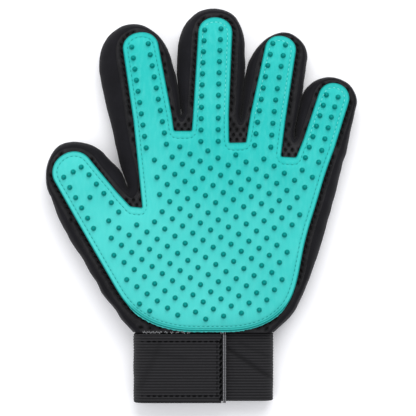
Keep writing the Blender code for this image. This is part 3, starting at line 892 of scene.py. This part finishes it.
def lattice_holes(outline):
    """Staggered rows of upright holes over the whole outline."""
    lo, hi = outline.min(0), outline.max(0)
    pts = []
    for r in range(int(lo[1] / HOLE_STEP[1]) - 2, int(hi[1] / HOLE_STEP[1]) + 2):
        for c in range(int(lo[0] / HOLE_STEP[0]) - 2, int(hi[0] / HOLE_STEP[0]) + 2):
            pts.append(((c + 0.5 * (r % 2)) * HOLE_STEP[0], r * HOLE_STEP[1]))
    pts = np.array(pts)
    pts = pts[inside(pts, outline)]
    size = np.tile((0.0, *HOLE_R), (len(pts), 1))
    return clear_of_edge(np.hstack([pts, size]), outline)


def strip_holes(line):
    """Two staggered rows of long holes beside the pad, where the netting is pulled narrow."""
    out = []
    for depth, phase, reach in ((1.1, 0.0, 1.45), (3.4, 0.5, 1.35), (5.6, 0.0, 1.2)):
        row = resample(offset_rows(line, (-depth,))[0], 0.6)
        run = np.gradient(row, axis=0)
        step = int(round(HOLE_STEP[1] * 1.22 / 0.6))
        for k in range(int(phase * step) + 2, len(row) - 2, step):
            j = noise.noise_vector(Vector((row[k][0] * 0.7, row[k][1] * 0.7, depth)))
            turn = math.atan2(run[k][1], run[k][0]) - math.pi / 2 + 0.42 + 0.5 * j.z
            out.append((row[k][0] + 0.35 * j.x, row[k][1] + 0.5 * j.y, turn, 0.76 + 0.12 * j.x,
                        reach * (1 + 0.25 * j.y)))
    return out


def clear_of_edge(holes, outline):
    loop = [np.vstack([outline, outline[:1]])]
    off = distance(holes[:, :2], loop)
    return holes[inside(holes[:, :2], outline) & (off > holes[:, 4] * 1.28 + 0.08)]


def apart(holes, others, gap):
    if not len(others):
        return holes
    d = np.linalg.norm(holes[:, None, :2] - others[None, :, :2], axis=2).min(1)
    return holes[d > gap]


def back_line(edge, panel):
    inward = panel - edge
    return edge + inward / np.linalg.norm(inward, axis=1)[:, None] * BACK_INSET


def panel_outline(body, front):
    """Closed outline of one mesh panel, with the bending lines' shared points."""
    side = (lambda k: RUNS[k][1]) if front else (lambda k: back_line(*RUNS[k]))

    def across(name):
        f = FINGERS[name]
        a, b = local(f, side(name)[0])[0], local(f, side(name)[-1])[0]
        return hinge_line(f, a[0], b[0])

    if body != "palm":
        return np.vstack([side(body), across(body)[1:-1][::-1]])
    parts = [side("side_thumb")]
    for key in ORDER[1:]:
        parts.append(across(key)[1:-1] if key in BODIES else side(key))
    bottom = resample(np.array([parts[-1][-1], parts[0][0]]), 2.5)[1:-1]
    return np.vstack(parts + [bottom])


def seam_dip(pts):
    return 0.45 * np.exp(-(distance(pts, PANEL_EDGE) / 0.9) ** 2)


BACK_EDGE = [back_line(*RUNS[k]) for k in ORDER]
PAD_RING = [np.vstack([PAD_LOOP, PAD_LOOP[:1]])]
STRIPS = np.array([h for line in list(FINGER_PADS.values()) + [PAD_STRETCHES[4]]
                   for h in strip_holes(line)])
keep = []
for hole in STRIPS:
    if all(np.hypot(hole[0] - q[0], hole[1] - q[1]) > 2.55 for q in keep):
        keep.append(hole)
STRIPS = np.array(keep)
NOTCH_LINES = [np.array(NOTCHES[k]) for k in NOTCHES]
STRIPS = STRIPS[distance(STRIPS[:, :2], NOTCH_LINES) > 6.0]
for body in ("palm",) + BODIES:
    outline = panel_outline(body, True)
    lattice = lattice_holes(outline)
    lattice = lattice[~inside(lattice[:, :2], PAD_LOOP) | (distance(lattice[:, :2], PAD_RING) < 1.2)]
    strip = clear_of_edge(STRIPS, outline)
    strip = strip[~inside(strip[:, :2], PAD_LOOP)]
    holes = np.vstack([strip, apart(lattice, strip, 3.1)])
    rows = np.vstack([r for k in ORDER for r in offset_rows(RUNS[k][1], (0.45, 1.0, 1.7))])
    fine = spread(outline, 0.9, None)
    hidden = inside(fine, PAD_LOOP) & (distance(fine, PAD_RING) > 2)
    if body != "palm":                                       # kept fine where the finger bends
        hidden &= local(FINGERS[body], fine)[:, 1] > FINGERS[body]["line"] + BEND + 1
    loose = np.vstack([rows, fine[~hidden], spread(outline, 4.0, None)])
    loose = loose[inside(loose, outline)]
    loose = loose[np.unique(np.round(loose, 1), axis=0, return_index=True)[1]]
    b = plate(outline, [hole_rings(h) for h in holes], loose, [],
              lambda p: TUBE - 0.1 + strands(p, holes) * smoothstep(distance(p, PANEL_EDGE), 0.2,
                                                                   1.2) - seam_dip(p),
              TUBE - 1.3)
    # painted shade: the netting is darker where its strands run low and lighter on their crests, and darker again
    # further than 5 mm from the notches
    high = strands(np.array([v[:2] for v in b.verts]), holes) / 0.34
    shade = 0.40 * smoothstep(distance(np.array([v[:2] for v in b.verts]), NOTCH_LINES), 5, 9)
    b.marks = [m if m > 0 else q + 0.5 - 0.5 * max(0.0, min(1.0, h))
               for m, h, q in zip(b.marks, high, shade)]
    obj = b.make("air_mesh_front_" + body, MESH, "palm_air_mesh")
    attach(obj, body)
    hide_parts("mesh_front_" + body)

    outline = panel_outline(body, False)
    holes = lattice_holes(outline)
    rows = np.vstack([r for line in BACK_EDGE for r in offset_rows(line, (0.6, 1.4))])
    loose = np.vstack([rows, spread(outline, 4.0, None)])
    loose = loose[inside(loose, outline)]
    loose = loose[np.unique(np.round(loose, 1), axis=0, return_index=True)[1]]
    b = plate(outline, [flip_rings(hole_rings(h)) for h in holes], loose, [],
              lambda p: 0.3 * np.exp(-(distance(p, BACK_EDGE) / 0.8) ** 2), 1.3, up=False)
    b.marks = [m if m > 0 else 0.25 for m in b.marks]
    obj = b.make("air_mesh_back_" + body, MESH, "back_air_mesh")
    attach(obj, body)
    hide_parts("back_panel_" + body)


# ------------------------------------------------------------------ rubber pad and nubs
nubs = []
for f in FINGERS.values():
    for u0, slope, first, step, count, bow_u, bow_v in f["nubs"]:
        for k in range(count):
            t = k / (count - 1)
            v = first - step * k + 4 * bow_v * t * (1 - t)
            nubs.append(place(f, (u0 + slope * v + 4 * bow_u * t * (1 - t), v))[0])
    for u, v in f["extra"]:
        nubs.append(place(f, (u, v))[0])
for i in range(-20, 21):
    for j in range(-14, 15):
        p = np.array(LATTICE_AT) + i * np.array(LATTICE_A) + j * np.array(LATTICE_B)
        if (i, j) in BARE or not inside(p[None], PAD_LOOP)[0]:
            continue
        if (i, j) not in OUTER and distance(p[None], PAD_EDGE)[0] < 5.85:
            continue
        if min(np.linalg.norm(p - q) for q in nubs) >= 5.2:
            nubs.append(p)
nubs = np.array(nubs)

# radius, height, mark; the mark darkens the nub: painted shade on its walls and at its foot, and the thicker rubber's
# deeper teal
NUB_RINGS = ((1.70, 0.0, 0.0), (1.52, 0.08, 0.60), (1.42, 0.40, 0.95), (1.24, 1.2, 1.0),
             (1.02, 1.9, 1.0), (0.72, 2.5, 1.0), (0.38, 2.86, 0.97))


def nub_rings(c):
    out = [([(c[0] + r * math.cos(a), c[1] + r * math.sin(a))
             for a in np.arange(12) * math.pi / 6], dz, mark) for r, dz, mark in NUB_RINGS]
    return out + [([tuple(c)], NUB_HIGH, 0.95)]


# stitch line: follows the pad's edge, and runs deeper below the notches between fingers
inset = []
for k, line in enumerate(PAD_EDGE):
    run = np.gradient(line, axis=0)
    n = np.stack([run[:, 1], -run[:, 0]], 1) / np.linalg.norm(run, axis=1)[:, None]
    below = np.maximum(0, -n[:, 1]) ** 3 * (k % 2 == 1) * (k < 8)
    inset.append(line + n * (STITCH_IN + 1.6 * below)[:, None])
inset = np.vstack(inset)
inset = inset[distance(inset, PAD_EDGE) > STITCH_IN - 0.05]
SEAM = resample(smooth_line(resample(np.vstack([inset, inset[:1]]), 0.7), 3), 2.7)
SEAM_LINE = [np.vstack([SEAM, SEAM[:1]])]


def pad_height(pts):
    """Rounded rim, raised bead, sunk stitch channel, then the flat sheet."""
    e = distance(pts, PAD_EDGE)
    z = np.full(len(pts), PAD_TOP)
    r = 0.45
    z -= np.where(e < r, r - np.sqrt(np.maximum(r * r - (r - np.minimum(e, r)) ** 2, 0)), 0)
    z += 0.28 * np.exp(-((e - 0.85) / 0.42) ** 2)
    z -= 0.30 * np.exp(-(distance(pts, SEAM_LINE) / 0.50) ** 2)
    z -= 0.35 * smoothstep(-pts[:, 1], 30, 38) * np.exp(-((e - 1.4) / 0.35) ** 2)
    return z


ROW_DEPTHS = (0.12, 0.3, 0.55, 0.85, 1.1, 1.4, 1.75, 2.2, 2.7, 3.2, 3.8)
PAD_ROWS = np.vstack([r for line in PAD_EDGE for r in offset_rows(line, ROW_DEPTHS)])
e_rows = distance(PAD_ROWS, PAD_EDGE)
want = np.concatenate([np.full(len(line), d) for line in PAD_EDGE for d in ROW_DEPTHS])
PAD_ROWS = PAD_ROWS[e_rows > want - 0.06]
beside = resample(SEAM_LINE[0], 0.9)
beside = np.vstack([r for r in offset_rows(beside, (-0.9, -0.45, 0.0, 0.45, 0.9))])
PAD_ROWS = np.vstack([PAD_ROWS, beside[distance(beside, PAD_EDGE) > 3.0]])


def pad_across(name):
    f = FINGERS[name]
    left, right = -f["pad"][0], f["pad"][2]
    marks = [left + d for d in ROW_DEPTHS] + [right - d for d in ROW_DEPTHS]
    inner = np.linspace(left + 4.6, right - 4.6, 8)
    us = np.array(sorted([left, right] + marks + list(inner)))
    return place(f, [(u, f["line"]) for u in us])


def thin_out(pts, gap):
    return pts[np.unique(np.round(pts / gap), axis=0, return_index=True)[1]]


for body in ("palm",) + BODIES:
    if body == "palm":
        parts = []
        for k, key in enumerate(BODIES):
            parts += [pad_across(key)[:-1], PAD_STRETCHES[k][:-1]]
        outline = np.vstack(parts)
    else:
        outline = np.vstack([FINGER_PADS[body][:-1], pad_across(body)[::-1][:-1]])
    mine = nubs[inside(nubs, outline)]
    rows = thin_out(PAD_ROWS[inside(PAD_ROWS, outline)], 0.2)
    fill = spread(outline, 2.4, None)
    fill = fill[distance(fill, PAD_EDGE) > 4.4]
    lines = [place(FINGERS[k], [(-25, FINGERS[k]["line"]), (25, FINGERS[k]["line"])])
             for k in BODIES]
    loose = np.vstack([rows, fill])
    loose = loose[distance(loose, lines) > 0.25] if body != "palm" else loose
    b = plate(outline, [nub_rings(c) for c in mine], loose, [], pad_height, PAD_LOW)
    flat = np.array([v[:2] for v in b.verts])
    depth = distance(flat, PAD_EDGE)
    # painted shade: darker along the rounded rim, in the groove along the lower edge and in the stitch channel; a wide
    # band near the lower edge is darker too
    rim = 0.85 * (1 - smoothstep(depth, 0.42, 0.95)) \
        + 0.60 * smoothstep(-flat[:, 1], 30, 38) * np.exp(-((depth - 1.4) / 0.4) ** 2) \
        + 0.14 * smoothstep(-flat[:, 1], 20, 42) * (1 - smoothstep(depth, 2.0, 8.0)) \
        + 0.16 * np.exp(-(distance(flat, SEAM_LINE) / 0.45) ** 2)
    b.marks = list(np.maximum(b.marks, rim))
    obj = b.make("rubber_pad_" + body, RUBBER, "pad_rubber")
    attach(obj, body)
    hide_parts("pad_" + body)
print("nubs", len(nubs))


# ------------------------------------------------------------------ stitches
def stitch(b, centre, along, length, radius, rise):
    """One sewn stitch: a short thread that dips into the material at both ends."""
    along = np.array(along) / np.linalg.norm(along)
    side = np.array((-along[1], along[0]))
    last = None
    for t in np.linspace(-1, 1, 7):
        c = np.array(centre[:2]) + along * t * length / 2
        z = centre[2] + rise * (1 - t * t) - radius * 0.6
        r = radius * (1.0 if abs(t) < 0.9 else 0.6)
        pts = []
        for k in range(6):
            a = math.pi / 3 * k
            p = c + side * r * math.cos(a)
            pts.append((p[0], p[1], z + r * math.sin(a)))
        ring = b.add(pts)
        if last:
            b.ring(last, ring)
        else:
            b.faces.append(tuple(reversed(ring)))
        last = ring
    b.faces.append(tuple(last))


ahead = np.roll(SEAM, -1, axis=0) - np.roll(SEAM, 1, axis=0)
owner = np.array(["palm"] * len(SEAM), dtype=object)
for key in BODIES:
    uv = local(FINGERS[key], SEAM)
    f = FINGERS[key]
    here = (uv[:, 1] > f["line"]) & (uv[:, 0] > -f["pad"][0] - 2) & (uv[:, 0] < f["pad"][2] + 2)
    owner[here & (uv[:, 1] < f["length"])] = key
heights = pad_height(SEAM)
for body in ("palm",) + BODIES:
    b = Build()
    for p, d, z, who in zip(SEAM, ahead, heights, owner):
        if who == body:
            stitch(b, (p[0], p[1], z), d, 1.55, 0.23, 0.15)
    # the stitches on the middle, ring and little fingertips take the pale copy of the thread, a painted highlight
    pale = body in ("middle", "ring", "little")
    obj = b.make("pad_stitching_" + body, HIGHLIT_THREAD if pale else THREAD, "pad_rubber")
    attach(obj, body)
    b = Build()
    # needle holes: small raised discs of dark teal rubber, painted shade standing in for the holes, full strength on
    # the fingers with the pale thread
    deep = 1.0 if pale else 0.25
    for p, d, z, who in zip(SEAM, ahead, heights, owner):
        if who == body:
            x, y = np.array(p) + d / np.linalg.norm(d) * 1.35
            ring = b.add([(x + 0.52 * math.cos(a), y + 0.52 * math.sin(a), z - 0.03)
                          for a in np.arange(8) * math.pi / 4], 0.9 * deep)
            dome = b.add([(x + 0.36 * math.cos(a), y + 0.36 * math.sin(a), z + 0.05)
                          for a in np.arange(8) * math.pi / 4], deep)
            b.ring(ring, dome)
            b.faces.append(tuple(dome))
    obj = b.make("needle_hole_shade_" + body, RUBBER, "pad_rubber")
    attach(obj, body)


# ------------------------------------------------------------------ cuff and strap
RIB = 1.65                                  # spacing of the webbing's ribs
WEB = 1.3


def rib(y):
    return 0.32 * np.abs(np.sin(np.pi * (y - CUFF_BOTTOM) / RIB)) ** 0.8


CREASES = (((13.0, -60.5), (38.0, -77.5), 0.70, 1.3), ((20.0, -57.0), (38.0, -66.0), 0.25, 1.2),
           ((-38.0, -83.0), (-27.0, -58.0), 0.30, 1.8), ((-34.0, -62.0), (-12.0, -66.0), 0.20, 1.6))


def creases(x, ys):
    """Soft diagonal dents pressed into the webbing: ends, depth and half-width."""
    at = np.stack([np.full(len(ys), x), ys], 1)
    out = np.zeros(len(ys))
    for a, b, deep, wide in CREASES:
        out -= deep * np.exp(-(distance(at, [np.array([a, b])]) / wide) ** 2)
    return out


def webbing(name, path, y0, y1, slot):
    """Ribbed strip swept along an (x, z) path; the ribs run along the path."""
    path = np.asarray(path, float)
    run = np.gradient(path, axis=0)
    out = np.stack([run[:, 1], -run[:, 0]], 1)
    out /= np.linalg.norm(out, axis=1)[:, None]
    ys = np.linspace(y0, y1, int(abs(y1 - y0) / (RIB / 8)) + 1)
    edge = np.minimum(smoothstep(ys, y0, y0 + 0.7), 1 - smoothstep(ys, y1 - 0.7, y1))
    b = Build()
    upper, under = [], []
    for (x, z), n in zip(path, out):
        h = rib(ys) * edge - (1 - edge) * 0.45
        wob = np.array([noise.noise(Vector((x * 0.11, y * 0.11, z * 0.1))) * 0.22 for y in ys])
        if z > MID:
            wob = wob + creases(x, ys)
        h = h + wob * edge
        # painted shade in the grooves between the ribs, and deeper still in the creases
        groove_shade = 1 - smoothstep(rib(ys), 0.18, 0.32)
        if z > MID:
            groove_shade = np.clip(groove_shade - 1.3 * creases(x, ys), 0, 1)
        row = b.add(np.stack([x + n[0] * h, ys, z + n[1] * h], 1))
        for k, g in zip(row, groove_shade):
            b.marks[k] = float(g)
        upper.append(row)
    for (x, z), n in zip(path, out):
        h = -WEB - 0.12 * np.sqrt(np.abs(np.sin(np.pi * (ys - CUFF_BOTTOM) / RIB))) \
            + (1 - edge) * 0.45
        under.append(b.add(np.stack([x + n[0] * h, ys, z + n[1] * h], 1)))
    for grid_rows, turn in ((upper, False), (under, True)):
        for r0, r1 in zip(grid_rows, grid_rows[1:]):
            for k in range(len(ys) - 1):
                quad = (r0[k], r1[k], r1[k + 1], r0[k + 1])
                b.faces.append(quad[::-1] if turn else quad)
    for k in (0, -1):
        for r in range(len(path) - 1):
            quad = (upper[r][k], under[r][k], under[r + 1][k], upper[r + 1][k])
            b.faces.append(quad if k == 0 else quad[::-1])
        for c in range(len(ys) - 1):
            quad = (upper[k][c], upper[k][c + 1], under[k][c + 1], under[k][c])
            b.faces.append(quad if k == 0 else quad[::-1])
    return b.make(name, WEBBING, slot, raise_it=False)


def fold(cx, cz, rx, rz, a0, a1, n):
    a = np.radians(np.linspace(a0, a1, n))
    return np.stack([cx + rx * np.cos(a), cz + rz * np.sin(a)], 1)


SPLIT = 202                                 # where the strap's strip leaves the back band
around = np.vstack([
    fold(-35.0, 10.35, 7.0, 10.0, SPLIT, 270, 14), [(-20, 0.35), (0, 0.35), (20, 0.35)],
    fold(32.0, 8.2, 7.0, 7.85, 270, 450, 26), [(20, 16.05), (0, 16.05), (-20, 16.0), (-33, 15.9)]])
around = resample(around, 1.5)
first = fold(-35.0, 10.35, 7.0, 10.0, SPLIT, 270, 14)[0]
cuff = webbing("cuff_band", around, CUFF_BOTTOM, CUFF_TOP, "cuff_webbing")
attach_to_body(cuff, "palm")
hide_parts("cuff_back_band", "cuff_front_band")

over = np.vstack([fold(-35.0, 10.35, 7.0, 10.0, SPLIT, 90, 26),
                  [(-28, 20.4), (-20, 20.35), (-8, 20.1), (2, 19.9), (9.0, 19.8)]])
over = resample(over, 1.3)[::-1]
strap = webbing("strap_flap_web", over, FLAP_BOTTOM, CUFF_TOP - 0.6, "cuff_webbing")
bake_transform(strap)
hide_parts("strap_flap")

# raw end of the strap, bound by two lines of grey thread
b = Build()
TAPE = [(9.62, 18.5, 1.0), (9.70, 19.9, 1.0), (10.00, 20.35, 0.9), (10.30, 20.50, 0.0),
        (10.60, 20.30, 0.9), (10.95, 20.12, 1.0), (11.20, 20.30, 0.8), (11.42, 20.42, 0.0),
        (11.62, 20.15, 0.8), (11.64, 18.9, 1.0), (11.0, 18.3, 1.0), (9.9, 18.2, 1.0)]
last = None
for k, y in enumerate(np.arange(FLAP_BOTTOM + 0.2, CUFF_TOP - 0.7, 0.4)):
    w = 0.10 * noise.noise(Vector((y * 0.5, 2.0, 0)))
    twist = 0.14 * (k % 2)
    speck = 0.7 * (k * 7 % 5 < 2)
    ring = [b.add([(x + w, y, z + w * 0.6 - twist * (1 - m))], max(m, speck))[0]
            for x, z, m in TAPE]
    if last:
        b.ring(last, ring)
    else:
        b.faces.append(tuple(reversed(ring)))
    last = ring
b.faces.append(tuple(last))
tape = b.make("strap_end_tape", BINDING, "strap_binding", raise_it=False)
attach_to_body(tape, "strap")
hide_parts("strap_end_binding")

# box of dark stitching on the strap, closed by a row of bold bar stitches
FLAT = over[over[:, 1] > 19.0]
FLAT = FLAT[np.argsort(FLAT[:, 0])]


def flap_top(x):
    return float(np.interp(x, FLAT[:, 0], FLAT[:, 1])) + 0.42


b = Build()
box_x, box_y = (-37.5, 6.6), (-87.4, -55.8)
for y in box_y:
    for x in np.arange(box_x[0], box_x[1], 3.3):
        stitch(b, (x + 1.0, y, flap_top(x)), (1, 0.02), 2.2, 0.38, 0.18)
for y in np.arange(box_y[0] + 1.5, box_y[1], 3.0):
    stitch(b, (6.4, y, flap_top(6.4)), (0.02, 1), 2.0, 0.22, 0.14)
for y in np.arange(CUFF_BOTTOM + 1.0, CUFF_TOP - 2.5, 3.3):
    stitch(b, (8.45, y + 0.8, flap_top(8.5)), (0.30, 1), 2.6, 0.60, 0.25)
box = b.make("strap_box_stitching", DARK_THREAD, "cuff_webbing", raise_it=False)
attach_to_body(box, "strap")

# ends of the pale sewing thread along the cuff's upper edge
b = Build()
for k in range(44):
    x = -36.3 + k * 0.66
    if x < -27.5 or (k * 7) % 5 in (0, 2, 3):
        slant = 0.9 if k % 2 else -0.9
        stitch(b, (x, CUFF_TOP + 0.5 + 0.25 * math.sin(k * 1.7), 20.75), (0.35 * slant, 1.0),
               1.1 + 0.3 * math.sin(k * 2.3), 0.12, 0.15)
for x in (8.6, 9.4, 10.3, 11.3):
    stitch(b, (x, CUFF_TOP + 0.2, 20.4), (0.2 if x > 9 else -0.6, 1), 1.0, 0.13, 0.1)
obj = b.make("cuff_thread_ends", WHITE_THREAD, "cuff_webbing", raise_it=False)
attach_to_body(obj, "palm")

# thin uneven flash along the pad's lower edge
b = Build()
low_edge = resample(PAD_STRETCHES[4], 0.55)
low_edge = low_edge[low_edge[:, 1] < -34.0]
out_dir = offset_rows(low_edge, (-1.0,))[0] - low_edge
last = None
for k, (p, n) in enumerate(zip(low_edge, out_dir)):
    share = min(1.0, k / 12, (len(low_edge) - 1 - k) / 12)
    wide = share * (0.55 + 0.35 * noise.noise(Vector((k * 0.33, 4.0, 0)))
                    + 0.22 * abs(math.sin(k * 0.55)) * (p[0] < 22))
    q = p + n * max(0.12, wide)
    back = p - n * 0.4
    ring = b.add([(*back, 20.25), (*p, 20.95), (*(p + n * wide * 0.5), 20.85), (*q, 20.6),
                  (*q, 20.3)])
    if last:
        b.ring(last, ring)
    else:
        b.faces.append(tuple(reversed(ring)))
    last = ring
b.faces.append(tuple(last))
obj = b.make("pad_flash", RUBBER, "pad_rubber")
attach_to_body(obj, "palm")


def pile(name, x, y, z, mat, slot, body, spikes, height, gap, down):
    """Backing tape with a field of small hooks or loops."""
    b = Build()
    s = -1 if down else 1
    nx, ny = int((x[1] - x[0]) / 1.0) + 1, int((y[1] - y[0]) / 1.0) + 1
    gx2, gy2 = np.linspace(x[0], x[1], nx), np.linspace(y[0], y[1], ny)
    rows_top, rows_low = [], []
    for yy in gy2:
        rows_top.append(b.add([(xx, yy, z + 0.05 * noise.noise(Vector((xx, yy, 1))))
                               for xx in gx2]))
        rows_low.append(b.add([(xx, yy, z - s * 0.5) for xx in gx2]))
    for rows2, turn in ((rows_top, down), (rows_low, not down)):
        for r0, r1 in zip(rows2, rows2[1:]):
            for k in range(nx - 1):
                quad = (r0[k], r0[k + 1], r1[k + 1], r1[k])
                b.faces.append(quad[::-1] if turn else quad)
    loop_t = rows_top[0] + [r[-1] for r in rows_top[1:]] + rows_top[-1][-2::-1] \
        + [r[0] for r in rows_top[-2:0:-1]]
    loop_l = rows_low[0] + [r[-1] for r in rows_low[1:]] + rows_low[-1][-2::-1] \
        + [r[0] for r in rows_low[-2:0:-1]]
    b.ring(loop_l, loop_t) if not down else b.ring(loop_t, loop_l)
    k = 0
    for yy in np.arange(y[0] + 1, y[1] - 0.8, gap):
        for xx in np.arange(x[0] + 1, x[1] - 0.8, gap):
            k += 1
            j = noise.noise_vector(Vector((xx * 3.1, yy * 3.7, 0.3)))
            cx, cy = xx + j.x * 0.35 * (not spikes), yy + j.y * 0.35 * (not spikes)
            tip = 0.35 if k % 2 else -0.35
            turn = j.z * 2.5 if not spikes else 0.0
            prev = None
            for t in (0.0, 0.45, 0.8, 1.0) if spikes else (0.0, 0.3, 0.6, 0.85, 1.0):
                if spikes:
                    dx, dz, r = tip * t * t, height * math.sin(t * 2.2), 0.13
                    ox, oy = dx, 0.0
                else:
                    bow = math.pi * t
                    ox = 0.42 * math.cos(bow) * math.cos(turn)
                    oy = 0.42 * math.cos(bow) * math.sin(turn)
                    dz, r = height * math.sin(bow) + 0.02, 0.09
                ring = b.add([(cx + ox + r * math.cos(a), cy + oy + r * math.sin(a), z + s * dz)
                              for a in (0, 2.1, 4.2)])
                if prev:
                    b.ring(prev, ring)
                prev = ring
            b.faces.append(tuple(prev))
    obj = b.make(name, mat, slot, raise_it=False)
    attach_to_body(obj, body)
    return obj


hook = pile("hook_tape_pile", (-24.0, 7.2), (-87.6, -56.0), 18.55, HOOKS, "hook_pile", "strap",
            True, 0.55, 1.15, True)
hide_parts("hook_tape")
loop = pile("loop_tape_pile", (-30.0, 11.2), (-87.6, -54.0), 16.95, LOOPS, "loop_pile", "palm",
            False, 0.5, 0.95, False)
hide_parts("loop_tape")

# ------------------------------------------------------------------ setting
floor_mesh = bpy.data.meshes.new("floor")
floor_mesh.from_pydata([(-3, -3, 0), (3, -3, 0), (3, 3, 0), (-3, 3, 0)], [], [(0, 1, 2, 3)])
floor = bpy.data.objects.new("floor", floor_mesh)
bpy.context.collection.objects.link(floor)
floor.location.z = -0.0004
floor_mat, _, _ = material("pale_floor", (0.97, 0.97, 0.985), 0.9,
                         {"Emission Color": (1, 1, 1, 1), "Emission Strength": 0.11})
floor_mesh.materials.append(floor_mat)

world = bpy.data.worlds.new("studio")
world.use_nodes = True
world.node_tree.nodes["Background"].inputs["Color"].default_value = (0.95, 0.96, 1.0, 1)
world.node_tree.nodes["Background"].inputs["Strength"].default_value = 0.70
bpy.context.scene.world = world


def area_light(name, at, towards, size, power):
    data = bpy.data.lights.new(name, "AREA")
    data.shape, data.size, data.energy = "DISK", size, power
    obj = bpy.data.objects.new(name, data)
    bpy.context.collection.objects.link(obj)
    obj.location = at
    obj.rotation_euler = (Vector(towards) - Vector(at)).to_track_quat("-Z", "Y").to_euler()


area_light("key", (0.12, 0.72, 0.85), (0, 0.02, 0), 1.0, 9.2)
area_light("fill", (-0.6, -0.2, 0.9), (0, 0.02, 0), 0.9, 2.2)

cam = bpy.data.cameras.new("camera")
cam.lens_unit = "MILLIMETERS"
cam.sensor_width = 36.0
VIEW_WIDTH, CAM_HIGH = 0.2413, 1.6          # width seen at the pad's height, camera's height
cam.lens = cam.sensor_width * (CAM_HIGH - 0.018) / VIEW_WIDTH
cam.clip_start = 0.01
camera = bpy.data.objects.new("camera", cam)
bpy.context.collection.objects.link(camera)
camera.location = (0.0012, 0.0215, CAM_HIGH)
bpy.context.scene.camera = camera
bpy.context.scene.view_settings.view_transform = "Standard"
